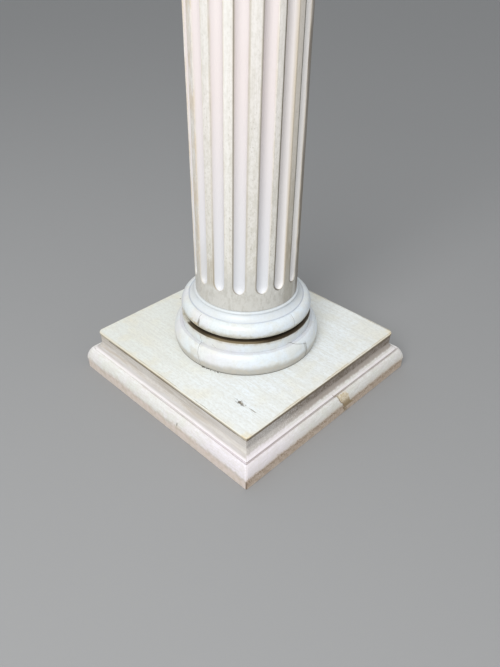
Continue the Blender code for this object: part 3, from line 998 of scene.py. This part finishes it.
# Bristle marks are finer than this on a real board. These are 2.2 mm wide, or they wouldn't show.
brushed = cloud(at, 2.2 * MM, 0.35, 0.7, (40, 1, 1))
coarse_brush = cloud(at, 8 * MM, 0.42, 0.68, (14, 1, 1))
fine_mottle = cloud(at, 5 * MM, 0.42, 0.64, (1.6, 1, 1), 5.0)
creamy = cloud(at, 34 * MM, 0.42, 0.60, (2.5, 1, 1), 5.0)
yellowed = cloud(at, 50 * MM, 0.46, 0.66, detail=5.0)
along = cloud(at, 60 * MM, 0.42, 0.58)
wiped = cloud(at, 90 * MM, 0.4, 0.62)
specks = cloud(at, 3.0 * MM, 0.66, 0.74, detail=1.0)
ripple = noise(at, 9 * MM, detail=4.0)

# %% Where the board is worn
ARRIS = 1.7 * MM
rim = add(tree, "MapRange", {0: at.half, 1: 150 * MM, 2: BOARD_HALF}).outputs[0]
# Towards the right the paint is brighter and bluer, as painted cool light; this mask also places the
# yellowed corner.
to_right = add(tree, "MapRange", {0: at.x, 1: -120 * MM, 2: 200 * MM}).outputs[0]
corner = above(at.corner, BOARD_HALF - 10 * MM, 7 * MM)
on_top = above(at.z, PLINTH_TOP - 1.2 * MM, 0.5 * MM)
arris = both(on_top, above(at.half, BOARD_HALF - ARRIS, 0.8 * MM))
inner_half = shifted(at.half, ripple, 2 * MM)
inner_line = both(on_top, between(inner_half, BOARD_HALF - 3.2 * MM, BOARD_HALF - 2.4 * MM, 0.6 * MM),
                  above(at.x, -120 * MM, 60 * MM))
near_right = both(on_top, above(shifted(at.x, ripple, 2 * MM), BOARD_HALF - 3 * MM, 4 * MM))
near_front = both(on_top, below(shifted(at.y, ripple, 2 * MM), 3 * MM - BOARD_HALF, 3 * MM),
                  between(at.x, -190 * MM, 0.0, 60 * MM))
lip = between(at.z, 0.0, PLINTH_TOP - ARRIS, 0.8 * MM)
lip_stain = both(lip, between(at.x, -125 * MM, 0.0, 50 * MM))
right_lip = both(lip, above(at.x, BOARD_HALF - 1.5 * MM, 0.5 * MM))
print(f"rubbed arris: {ARRIS / MM:.1f} mm wide")

# %% Where dirt has stayed on the board, and painted contact shade
DARK_POINT = (-193 * MM, -16 * MM, PLINTH_TOP)
CRUMBS = 3.5 * MM
# A dark ring round the foot of the base: dust, and painted contact shade where the base stands on the
# board.
dust_and_contact_shade = both(on_top, between(at.radius, FOOT_RADIUS - 4 * MM, FOOT_RADIUS + 0.8 * MM, 1.2 * MM))
crumbs = both(cloud(at, 4 * MM, 0.48, 0.54, detail=1.0), facing(at, -84, -66, 2),
              between(at.radius, FOOT_RADIUS, FOOT_RADIUS + CRUMBS, 1 * MM))
dark_point = spot(at, DARK_POINT, (2 * MM, 2 * MM, 2 * MM))
in_gouge = spot(at, GOUGE, (7.5 * MM, 3.8 * MM, 4 * MM))
round_gouge = both(spot(at, GOUGE, (15 * MM, 6 * MM, 4 * MM)),
                   cloud(at, 4 * MM, 0.50, 0.57, detail=2.0))
in_scratch = spot(at, SCRATCH, (11 * MM, 1.4 * MM, 4 * MM))
print(f"crumbs up to {CRUMBS / MM:.1f} mm from the base's foot")

# %% The board's coats
lay_coats(shader, "#E5E8E2", [
    ("#EAE6D8", creamy, 0.25),
    # Painted cool light: brighter and bluer towards the right.
    ("#EDF3F7", to_right, 0.9),
    ("#E9EFF4", to_right, wiped, 0.6),
    ("#E2D9C4", rim, yellowed, 0.6),
    ("#E9E6CF", yellowed, 0.25),
    ("#E9E7DC", rim, to_right, 0.45),
    ("#D3D2CB", fine_mottle, 0.4),
    ("#DADAD3", coarse_brush, 0.45),
    ("#CFCFC2", brushed, 0.22),
    ("#B9B3A2", specks, 0.35),
    ("#6E695C", dark_point, 0.8),
    ("#838078", dust_and_contact_shade, 0.85),
    ("#4F4A40", crumbs, 0.85),
    ("#E2D0A4", corner, rim, to_right, 0.35),
    ("#8E7C5C", inner_line, along, 0.75),
    ("#E3DCC9", arris, 0.4),
    ("#D6CAB0", near_right, along, 0.5),
    ("#D8CFB9", near_front, 0.5),
    ("#D9C294", arris, corner, to_right, 0.5),
    ("#B5A98F", lip, 0.85),
    ("#97876A", lip_stain, 0.7),
    ("#7A6B54", right_lip, 0.9),
    ("#A99C88", right_lip, fine_mottle, 0.6),
    ("#8A8275", in_gouge, 0.75),
    ("#665F53", round_gouge, 0.9),
    ("#8A8270", in_scratch, 0.75),
])
emboss(shader, 0.1 * MM, brushed, fine_mottle)
board.data.materials.append(finish)
abacus.data.materials.append(finish)

# %% [markdown]
# ### Mouldings
#
# The same paint, but worn. The plain band by the floor has been kicked and mopped until a pinkish
# undercoat shows, with a soft and wandering edge along the foot of the ovolo. The fascia under the
# board, and the hollow below it, are grey with dust and with painted shade under the board's
# overhang, with long streaks in both. On the right side the fascia is dark brown with dirt and
# painted shade, and flaking, and a dark line of painted shade runs under the foot of the ovolo
# there. A filled repair crosses that ovolo. The open joint under the board's lip is a dark line,
# darker with painted shade under the lip, and the quirk is a thin line of painted shade. A painted
# highlight runs along the ledge above the quirk and along the very foot of the band. The foot of
# the near corner is knocked bare. Coats that keep to one area are given its mask together.

# %% Patterns in the mouldings' paint
finish, tree, shader, at = new_finish("worn white oil paint on a softwood moulding", 0.55)
patches = cloud(at, 45 * MM, 0.40, 0.60)
creamy = cloud(at, 22 * MM, 0.44, 0.62, detail=5.0)
grain = cloud(at, 2.2 * MM, 0.38, 0.66, (9, 9, 1), 4.0)
long_streaks = cloud(at, 3 * MM, 0.42, 0.60, (16, 16, 1), 4.0)
mottle = cloud(at, 9 * MM, 0.42, 0.62, detail=5.0)
fine_mottle = cloud(at, 3.5 * MM, 0.42, 0.60, detail=5.0)
grit = cloud(at, 2.2 * MM, 0.47, 0.60, detail=4.0)
pale_crumbs = cloud(at, 2.8 * MM, 0.58, 0.66, detail=2.0)
wander = noise(at, 35 * MM, detail=5.0)
ripple = noise(at, 9 * MM, detail=4.0)

# %% The four sides and their ends
MITRE_SHADE = 1 * MM
right_side = add(tree, "Math", {0: at.x, 1: at.size_y}, operation="GREATER_THAN").outputs[0]
other_sides = add(tree, "Math", {0: 1.0, 1: right_side}, operation="SUBTRACT").outputs[0]
near_end = both(above(at.x, 170 * MM, 100 * MM), below(at.y, -170 * MM, 100 * MM))
far_end = add(tree, "Math", {0: 1.0, 1: near_end}, operation="SUBTRACT").outputs[0]
mitre_place = add(tree, "Math", {0: at.size_x, 1: at.size_y}, operation="SUBTRACT").outputs[0]
mitre = between(mitre_place, -MITRE_SHADE / 2, MITRE_SHADE / 2, 0.6 * MM)
near_corner = both(between(mitre_place, -1.5 * MM, 1.5 * MM, 1.5 * MM), below(at.z, 18 * MM, 3 * MM),
                   above(at.x, 0.0, 10 * MM), below(at.y, 0.0, 10 * MM))
print(f"mitre lines {MITRE_SHADE / MM:.0f} mm wide")

# %% The band, the ovolo and the quirk
BAND_TOP = 16 * MM
RIGHT_BAND_TOP = 20 * MM
low_z = shifted(shifted(at.z, wander, 13 * MM), ripple, 4 * MM)
band = both(below(low_z, BAND_TOP, 14 * MM), other_sides)
band_edge = both(between(low_z, 19 * MM, 26 * MM, 8 * MM), mottle, other_sides)
right_z = shifted(shifted(at.z, ripple, 6 * MM), wander, 5 * MM)
right_band = both(below(right_z, RIGHT_BAND_TOP, 9 * MM), right_side)
# A dark line of painted shade under the foot of the right ovolo.
right_line = both(between(right_z, 16 * MM, 23 * MM, 5 * MM), grit, right_side)
lower_ovolo = below(right_z, 25 * MM, 12 * MM)
# The very foot of the band gets a painted highlight.
foot = below(at.z, 2 * MM, 1.5 * MM)
# The quirk's groove is greyed as painted shade.
quirk = both(between(at.z, LEDGE_HEIGHT - QUIRK_DEPTH - 1 * MM, LEDGE_HEIGHT - 1 * MM, 0.8 * MM),
             below(at.half, LEDGE_HALF + QUIRK_WIDTH / 2, 1.5 * MM))
open_quirk = above(at.x, -40 * MM, 60 * MM)
# A painted highlight along the ledge, which faces up.
ledge = between(at.z, LEDGE_HEIGHT - 0.6 * MM, LEDGE_HEIGHT + 1.5 * MM, 1.5 * MM)
print(f"undercoat up to {BAND_TOP / MM:.0f} mm, on the right up to {RIGHT_BAND_TOP / MM:.0f} mm")

# %% The hollow, the fascia and the joint under the board
# The grey of the fascia and the hollow is dust and painted shade under the board's overhang.
SHADE_AND_DUST_FOOT = 58 * MM
hollow = both(between(at.z, LEDGE_HEIGHT + 1.2 * MM, HOLLOW_TOP, 0.8 * MM), other_sides)
fascia = above(shifted(at.z, ripple, 3 * MM), SHADE_AND_DUST_FOOT, 5 * MM)
upper_fascia = above(shifted(at.z, ripple, 4 * MM), 69 * MM, 4 * MM)
flakes = both(fascia, grit, below(at.y, -140 * MM, 120 * MM))
# The joint under the lip is an open joint, darkened further as painted shade under the lip.
joint = above(at.z, FASCIA_TOP - 2.2 * MM, 0.8 * MM)
open_joint = both(joint, other_sides,
                  between(shifted(at.x, ripple, 80 * MM), -170 * MM, 190 * MM, 30 * MM))
print(f"dusty fascia from {SHADE_AND_DUST_FOOT / MM:.0f} mm up to {FASCIA_TOP / MM:.1f} mm")

# %% The repair on the right ovolo
# The repair leans: it lies further along the side the higher it reaches.
REPAIR_LEAN = 0.55
leaning_y = add(tree, "Math", {0: at.z, 1: REPAIR_LEAN, 2: at.y}, operation="MULTIPLY_ADD").outputs[0]
repair_place = shifted(shifted(leaning_y, wander, 6 * MM), ripple, 11 * MM)
on_ovolo = between(shifted(at.z, ripple, 3 * MM), 14 * MM, LEDGE_HEIGHT - 4 * MM, 3 * MM)
repair = both(right_side, on_ovolo, between(repair_place, 43 * MM, 62 * MM, 6 * MM))
repair_foot = both(repair, below(at.z, 28 * MM, 8 * MM))
repair_edge = both(right_side, below(at.z, LEDGE_HEIGHT, 3 * MM),
                   between(repair_place, 39 * MM, 40.5 * MM, 1.6 * MM))
print(f"repair leans {math.degrees(math.atan(REPAIR_LEAN)):.0f} degrees")

# %% The mouldings' coats
coats = [
    ("#E8E0E2", patches, 0.4),
    ("#E9E1EA", near_end, 0.7),
    ("#DEE2D6", creamy, far_end, 0.5),
    ("#D2CDC4", fine_mottle, 0.3),
    ("#CFC9C0", grain, 0.35),
]
coats += within(right_side, [
    ("#D6CFC9", mottle, 0.3),
    ("#C9C0B6", grit, 0.25),
    ("#D6CDC0", lower_ovolo, 0.35),
    ("#C4B8A2", lower_ovolo, mottle, 0.35),
    ("#EEE6E8", near_end, 0.35),
])
coats += [
    # Dust and painted shade under the board's overhang grey the hollow and the fascia.
    ("#C6C2BF", hollow, 0.9),
    ("#B3A79A", hollow, long_streaks, 0.3),
    ("#D2CDC6", fascia, 0.85),
    ("#B0A391", fascia, long_streaks, 0.5),
    ("#BDB4A9", fascia, fine_mottle, 0.35),
    # Painted highlight on the ledge.
    ("#F2ECEE", ledge, 0.5),
]
# On the right side the fascia is darkened by dirt and by painted shade.
coats += within(right_side, [
    ("#A1978E", fascia, 0.85),
    ("#82756A", upper_fascia, 0.8),
    ("#6B6050", upper_fascia, mottle, 0.7),
    ("#B3A89F", fascia, fine_mottle, 0.45),
    ("#D5D1CC", flakes, 0.75),
])
coats += [
    ("#DAD6D1", fascia, near_end, 0.5),
    ("#DCCDC2", band, 0.85),
    ("#C9BBA6", band, mottle, 0.35),
    ("#C2B8A4", band_edge, 0.4),
]
coats += within(right_band, [
    ("#CDB9A6", 0.85),
    ("#AD957B", mottle, 0.5),
    ("#DACBBB", creamy, 0.4),
    ("#AE9479", grit, 0.5),
])
coats += [
    # Painted shade under the foot of the right ovolo.
    ("#94795A", right_line, 0.8),
    ("#E0D8CF", right_band, pale_crumbs, 0.6),
    # Painted highlight at the foot of the band.
    ("#E6DAD0", foot, 0.4),
    ("#D8C9AB", repair, 0.75),
    ("#B8A27C", repair, fine_mottle, 0.6),
    ("#8E7550", repair_foot, 0.7),
    ("#84704F", repair_edge, 0.75),
    # Painted shade in the quirk, darker on the right side.
    ("#C2B8BA", quirk, open_quirk, 0.4),
    ("#A0958F", quirk, right_side, 0.45),
    # The dark joint under the lip, with painted shade under the lip, darkest on the right side.
    ("#A0906F", joint, 0.45),
    ("#46372A", open_joint, 0.9),
    ("#5A4A38", joint, right_side, 0.8),
    ("#A39286", mitre, 0.15),
    ("#6C5843", near_corner, 0.75),
    ("#8A8478", spot(at, NICK, (2 * MM, 3 * MM, 5 * MM)), 0.7),
]
lay_coats(shader, "#E6E6E3", coats)
emboss(shader, 0.2 * MM, grain, fine_mottle)
for moulding in mouldings.values():
    moulding.data.materials.append(finish)

# %% [markdown]
# ### Turnings
#
# The base was painted with more care, in a cool white with a satin sheen, and it is painted
# brighter and bluer towards the right, as painted cool light. Under the upper round, and low on the
# big one, it is a warm grey with a wandering edge, for dust and painted shade. The slot was never
# painted: it is bare dark wood, and so is the ledge in front of it, but for the far left. Both are
# darkened further at the left end and on the right, as painted shade. Open joints and cracks are
# dark too, and one wide crack has a grey shadow beside it. The capital has the same paint, and its
# height keeps the stains off.

# %% Patterns in the turnings' paint
finish, tree, shader, at = new_finish("satin white paint on a glued and turned ring", 0.38)
patches = cloud(at, 40 * MM, 0.42, 0.62)
pink_patches = cloud(at, 55 * MM, 0.44, 0.60)
creamy = cloud(at, 26 * MM, 0.46, 0.62, detail=5.0)
mottle = cloud(at, 9 * MM, 0.42, 0.64, detail=5.0)
fine_mottle = cloud(at, 3.5 * MM, 0.45, 0.64, detail=5.0)
wander = noise(at, 30 * MM, detail=5.0)
ripple = noise(at, 8 * MM, detail=4.0)

# %% Stains and lines on the rounds
JOINT_STAIN = (1 * MM, -128 * MM, 177 * MM)
WAIST_STAIN = (-12 * MM, -129 * MM, PLINTH_TOP + 83 * MM)
LOW_DUST_AND_SHADE = 12 * MM
# The turnings are painted brighter and bluer towards the right, as painted cool light.
to_right = facing(at, -45, 80, 20)
low_z = shifted(shifted(at.z, wander, 6 * MM), ripple, 1.5 * MM)
# Darker low on the big round: dust and painted shade.
low_dust_and_shade = below(low_z, PLINTH_TOP + LOW_DUST_AND_SHADE, 14 * MM)
# Darker under the upper round: dust and painted shade on its underside.
under_round = between(low_z, SLOT_TOP - 4 * MM, SLOT_TOP + 7 * MM, 10 * MM)
fillet_line = between(at.z, FILLET_FOOT - 1.0 * MM, FILLET_FOOT + 0.5 * MM, 0.8 * MM)
ring_line = both(between(at.radius, 113.2 * MM, 114.8 * MM, 0.7 * MM),
                 above(at.z, UPPER_TOP - 1.5 * MM, 0.5 * MM))
cove = both(above(at.z, UPPER_TOP - 3 * MM, 3 * MM), below(at.radius, 113 * MM, 1 * MM))
open_line = add(tree, "Attribute", attribute_name="open_line").outputs["Fac"]
beside_joint = both(facing(at, -92, -84, 4), between(at.z, 0.0, UPPER_WAIST, 8 * MM), mottle)
beside_crack = both(facing(at, 6.6, 8.9, 0.9),
                    between(low_z, PLINTH_TOP + 3 * MM, PLINTH_TOP + 34 * MM, 5 * MM))
joint_stain = spot(at, JOINT_STAIN, (3 * MM, 8 * MM, 9 * MM))
waist_stain = spot(at, WAIST_STAIN, (14 * MM, 5 * MM, 8 * MM))
print(f"dust up to {LOW_DUST_AND_SHADE / MM:.0f} mm above the board")

# %% The slot and the ledge in front of it
in_slot = between(at.z, FILLET_TOP - 0.6 * MM, SLOT_TOP + 0.2 * MM, 0.5 * MM)
ledge = both(in_slot, below(at.radius, FILLET_RADIUS - 1.0 * MM, 0.8 * MM), facing(at, -105, 130, 5))
deep = both(in_slot, below(at.radius, 121 * MM, 3 * MM), facing(at, -114, 190, 2))
print(f"dark slot: {(SLOT_TOP - FILLET_TOP) / MM:.1f} mm high")

# %% The turnings' coats
lay_coats(shader, "#DEE4E5", [
    ("#E1E0DC", patches, 0.6),
    ("#DEDADF", pink_patches, 0.5),
    # Painted cool light towards the right.
    ("#DDE7F0", to_right, 0.6),
    ("#DEDCCF", creamy, 0.4),
    ("#CFD4D8", cove, 0.6),
    ("#D2D4D0", mottle, 0.25),
    ("#C9CCC8", fine_mottle, 0.2),
    # Dust and painted shade, low on the big round and under the upper round.
    ("#B1ADA4", low_dust_and_shade, 0.9),
    ("#C4BBAB", low_dust_and_shade, mottle, 0.4),
    ("#BFBAAB", under_round, 0.85),
    ("#A3997F", under_round, mottle, 0.55),
    ("#B9B19F", beside_joint, 0.25),
    ("#6F6757", joint_stain, ripple, 1.2),
    ("#BFAE90", waist_stain, mottle, 0.9),
    ("#B9B8BE", fillet_line, 0.45),
    ("#AEB4C0", ring_line, 0.6),
    ("#8C8982", beside_crack, 0.4),
    ("#554E42", open_line, 0.95),
    ("#8B7C62", ledge, 0.97),
    ("#4B4032", deep, 0.97),
    # Painted shade: the slot and its ledge darkened further on the right and at the left end.
    ("#352B20", in_slot, facing(at, -22, 120, 22), 0.9),
    ("#3E3428", deep, facing(at, -112, -84, 12), 0.8),
    ("#40372B", ledge, facing(at, -112, -86, 14), 0.85),
])
emboss(shader, 0.05 * MM, mottle, fine_mottle)
base.data.materials.append(finish)
capital.data.materials.append(finish)

# %% [markdown]
# ### Shaft
#
# A warmer white. Hands don't reach into the flutes, so they are clean and faintly pink, and cooler
# near the foot. Two flutes on the right are painted paler as painted light, the last one in sight
# the most, and one flat on the left has a thin painted highlight. The flats have gone grey and
# speckled and are rubbed to tan along their edges. Dirt and painted shade lie just inside the left
# edge of each flute that is turned from the light, and painted shade dims one lit flute edge. The
# plain band at the foot is grey. The flats on the right are brown with grime and with painted shade,
# with a wandering edge, and it fades out upwards.

# %% Patterns in the shaft's paint
finish, tree, shader, at = new_finish("old warm white paint on a fluted shaft", 0.5)
streaks = cloud(at, 2.0 * MM, 0.40, 0.72, (1, 1, 40))
mottle = cloud(at, 7 * MM, 0.44, 0.62, (1, 1, 2.5), 5.0)
fine_mottle = cloud(at, 3 * MM, 0.45, 0.62, (1, 1, 1.6), 5.0)
specks = cloud(at, 3.2 * MM, 0.62, 0.72, (1, 1, 1.5), 2.0)
patches = cloud(at, 60 * MM, 0.40, 0.62, (1, 1, 2.5))
rubbed = cloud(at, 14 * MM, 0.38, 0.60, (1, 1, 3), 4.0)
wander = noise(at, 30 * MM, (1, 1, 4), 4.0)

# %% Flats, flutes and edges
rise = add(tree, "MapRange", {
    0: at.z, 1: SHAFT_FOOT + SHAFT_LENGTH / 3, 2: SHAFT_HIGH.z, 4: math.acos(TOP_SHARE),
}).outputs[0]
narrowing = add(tree, "Math", {0: rise}, operation="COSINE").outputs[0]
full_radius = add(tree, "Math", {0: at.radius, 1: narrowing}, operation="DIVIDE").outputs[0]
flat = above(full_radius, SHAFT_RADIUS - 1.0 * MM, 0.7 * MM)
hollowed = add(tree, "Math", {0: 1.0, 1: flat}, operation="SUBTRACT").outputs[0]
edge = add(tree, "Attribute", attribute_name="edge_of_flute").outputs["Fac"]
either_edge = add(tree, "Math", {0: edge}, operation="ABSOLUTE").outputs[0]
worn = ramp(either_edge, 0.25, 0.95)
left_edge = ramp(edge, -0.55, -0.95)
wide_edge = ramp(edge, -0.2, -0.7)
print(f"narrowing starts at {(SHAFT_FOOT + SHAFT_LENGTH / 3) / MM:.0f} mm")

# %% Heights and sides of the shaft
# Plain heights are metres above the floor. Some stains go on past the high end, over the whole height.
WHOLE_HEIGHT = 2.0
upward = add(tree, "MapRange", {0: at.z, 1: 0.26, 2: 0.60}).outputs[0]
low_share = add(tree, "MapRange", {0: at.z, 1: 0.30, 2: 0.75, 3: 1.0, 4: 0.35}).outputs[0]
foot_band = below(at.z, SHAFT_FOOT + FLUTE_TIP + 4 * MM, 60 * MM)
low_flats = below(at.z, 0.32, 0.2)
left_side = facing(at, -150, -94, 5)
# Flats on the right are darkened by grime and by painted shade.
right_side = facing(at, 2, 70, 22)
# Flutes whose left walls are turned from the light, for the painted shade inside their left edges.
shaded_flutes = facing(at, -66, 60, 20)
far_flutes = facing(at, -20, 60, 8)
print(f"grey foot up to {(SHAFT_FOOT + FLUTE_TIP + 4 * MM) / MM:.0f} mm")

# %% Stains and the places of single flutes
stained_flat = both(facing(at, -91, -82, 2), below(at.z, 0.27, 0.10),
                    between(at.z, SHAFT_FOOT + FLUTE_TIP + 12 * MM, 0.30, 0.012))
low_flute = both(facing(at, -84, -80, 3), below(at.z, 0.30, 0.12))
low_hollow = both(facing(at, -125, -92, 5), hollowed, below(at.z, 0.28, 0.07))
# A painted highlight along one flat's left side.
highlight_edge = both(facing(at, -66.5, -63.5, 1.5), above(at.z, 0.34, 0.05))
middle_edge = both(facing(at, -46, -43, 2), worn)
# Painted shade dims one flute's right edge, which faces the light.
wall_edge = both(facing(at, -1, 2.5, 1.5), either_edge)
# Two flutes on the right, painted paler as painted light.
lit_flute = both(facing(at, -10, 20, 3), hollowed)
last_flute = both(facing(at, 13, 22, 3), hollowed, between(at.z, 0.34, WHOLE_HEIGHT, 0.08))
low_grime = both(facing(at, 1, 14, 4), low_flats)
# The right limb's flats get grime and painted shade, with a wandering edge.
limb_turn = shifted(at.turn, wander, math.radians(9))
right_limb = both(between(limb_turn, math.radians(26), math.pi, math.radians(6)), facing(at, 0, 38, 26),
                  between(at.z, SHAFT_FOOT + 25 * MM, WHOLE_HEIGHT, 0.04), below(at.z, 0.65, 0.55))
CHIP_TURN = math.radians(-101.3)
CHIP_RADIUS = 95 * MM
chip_place = (CHIP_RADIUS * math.cos(CHIP_TURN), CHIP_RADIUS * math.sin(CHIP_TURN), 243 * MM)
chip = spot(at, chip_place, (4 * MM, 4 * MM, 5 * MM))
print(f"chip at {math.degrees(CHIP_TURN):.1f} degrees, {chip_place[2] / MM:.0f} mm up")

# %% The shaft's coats
coats = [("#E6DBD8", upward, 0.85)]
coats += within(flat, [
    ("#DEDBD2", 0.9),
    ("#F1ECE7", upward, 0.85),
    ("#E9E7E1", patches, 0.5),
    ("#CBC7BA", mottle, low_share, 0.5),
    ("#BFBAAC", fine_mottle, low_share, 0.35),
    ("#D2CABC", streaks, 0.25),
    ("#A09A8C", specks, low_share, 0.45),
    # Painted highlight on one flat.
    ("#F2F1EC", highlight_edge, 0.3),
    ("#D3C0A4", left_side, rubbed, 0.55),
    # Grime and painted shade on the flats on the right.
    ("#CFC2AE", right_side, 0.35),
    ("#A99676", right_side, rubbed, low_flats, 0.5),
    ("#C8C6BF", foot_band, 0.75),
    ("#B9B6AD", foot_band, mottle, 0.5),
    ("#D9D8D3", foot_band, fine_mottle, 0.4),
    ("#B5AA92", stained_flat, 0.35),
    ("#A89C84", stained_flat, streaks, 0.6),
])
coats += [
    # Painted light: two flutes on the right painted paler.
    ("#F3EEEA", lit_flute, 0.55),
    ("#FBF8F4", last_flute, 0.8),
    ("#C4C0BA", low_hollow, 0.35),
    ("#D6C8AC", worn, upward, rubbed, 0.3),
    ("#D6CCBA", worn, 0.18),
    # Dirt and painted shade just inside the left edges of the flutes turned from the light.
    ("#867D6E", left_edge, shaded_flutes, 0.75),
    ("#5A5142", wide_edge, far_flutes, 0.8),
    # Painted shade on one lit flute edge.
    ("#BDB19C", wall_edge, 0.65),
    ("#BAB3A4", middle_edge, 0.45),
    ("#A0927A", left_edge, low_flute, 0.6),
]
# Grime low down, and grime with painted shade on the right limb.
coats += within(flat, [
    ("#A39C8C", low_grime, 0.4),
    ("#75695A", right_limb, 0.6),
    ("#5B5042", right_limb, streaks, 0.7),
])
coats += [("#8A8374", chip, specks, 0.8)]
lay_coats(shader, "#DBDCDF", coats)
emboss(shader, 0.1 * MM, both(flat, mottle), streaks)
shaft.data.materials.append(finish)

# %% [markdown]
# ## Hand the pieces to the frame
#
# Each new piece stands for its solid, which is hidden, and rides on the column's one body. The
# table also lists the slot of each finish.

# %% Pieces, solids and slots
handed = [(mouldings[name], "plinth_moulding_" + name, "plinth_paint") for name in mouldings]
handed += [
    (board, "plinth_top_board", "plinth_paint"),
    (base, "turned_base", "turning_paint"),
    (shaft, "fluted_shaft", "shaft_paint"),
    (capital, "turned_capital", "turning_paint"),
    (abacus, "abacus", "plinth_paint"),
]
for piece, node, slot in handed:
    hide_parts(node)
    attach(piece, "root")
    triangles = sum(len(face.vertices) - 2 for face in piece.data.polygons)
    print(f"{piece.name} stands for {node}: {triangles} triangles")

# %% [markdown]
# ## Floor, light and camera
#
# A plain pale floor, one large soft lamp high on the left and an even sky. The lamp's place is what
# gives the flutes their shaded left walls. The camera stands about a metre from the column's axis, off
# one corner, and looks down with the wide lens of a phone, as the photographer did.

# %% Floor
floor = new_piece("floor", bpy.ops.mesh.primitive_plane_add, size=30)
finish, _, shader, _ = new_finish("matt pale grey studio floor", 0.9)
shader.inputs["Base Color"].default_value = linear("#989898")
floor.data.materials.append(finish)

# %% Light
CAMERA_TURN = math.radians(44.56)
LAMP_TURN = CAMERA_TURN - math.radians(19)
LAMP_RISE = math.radians(42)
LAMP_DISTANCE = 3.4
LAMP_AIM = Vector((0, 0, 0.3))
lamp_data = bpy.data.lights.new("soft lamp", "AREA")
lamp_data.shape = "DISK"
lamp_data.size = 2.4
lamp_data.energy = 98
lamp = bpy.data.objects.new("soft_lamp", lamp_data)
bpy.context.scene.collection.objects.link(lamp)
level_way = Vector((math.sin(LAMP_TURN), -math.cos(LAMP_TURN), 0))
lamp_way = level_way * math.cos(LAMP_RISE) + Vector((0, 0, math.sin(LAMP_RISE)))
lamp.location = LAMP_AIM + LAMP_DISTANCE * lamp_way
lamp.rotation_euler = lamp_way.to_track_quat("Z", "Y").to_euler()

world = bpy.data.worlds.new("even sky")
bpy.context.scene.world = world
world.use_nodes = True
world.node_tree.nodes["Background"].inputs["Color"].default_value = linear("#F4F7FA")
world.node_tree.nodes["Background"].inputs["Strength"].default_value = 0.62
bpy.context.scene.view_settings.view_transform = "Standard"
print(f"lamp: {lamp_data.energy:.0f} W, {LAMP_DISTANCE} m away, {lamp.location.z:.2f} m up")

# %% Camera
IMAGE_HEIGHT = 667
FOCAL_PIXELS = 607.353
CAMERA_REACH = 2.10750 * 2 * PLINTH_HALF
CAMERA_HEIGHT = 1.71280 * 2 * PLINTH_HALF
CAMERA_PAN = math.radians(-0.474)
CAMERA_TILT = math.radians(36.152)
CAMERA_ROLL = math.radians(0.712)
heading = CAMERA_TURN + CAMERA_PAN
forward = Vector((
    -math.sin(heading) * math.cos(CAMERA_TILT),
    math.cos(heading) * math.cos(CAMERA_TILT),
    -math.sin(CAMERA_TILT),
))
level_right = forward.cross(Vector((0, 0, 1))).normalized()
level_up = level_right.cross(forward)
right = level_right * math.cos(CAMERA_ROLL) + level_up * math.sin(CAMERA_ROLL)
up = level_up * math.cos(CAMERA_ROLL) - level_right * math.sin(CAMERA_ROLL)
camera_data = bpy.data.cameras.new("phone camera")
camera_data.sensor_fit = "VERTICAL"
camera_data.sensor_height = 24
camera_data.lens = FOCAL_PIXELS * camera_data.sensor_height / IMAGE_HEIGHT
camera = bpy.data.objects.new("phone_camera", camera_data)
bpy.context.scene.collection.objects.link(camera)
camera.matrix_world = Matrix((right, up, -forward)).transposed().to_4x4()
camera_way = Vector((math.sin(CAMERA_TURN), -math.cos(CAMERA_TURN), 0))
camera.location = CAMERA_REACH * camera_way + Vector((0, 0, CAMERA_HEIGHT))
bpy.context.scene.camera = camera
print(f"camera: {camera_data.lens:.1f} mm lens, {camera.location.z:.2f} m up")
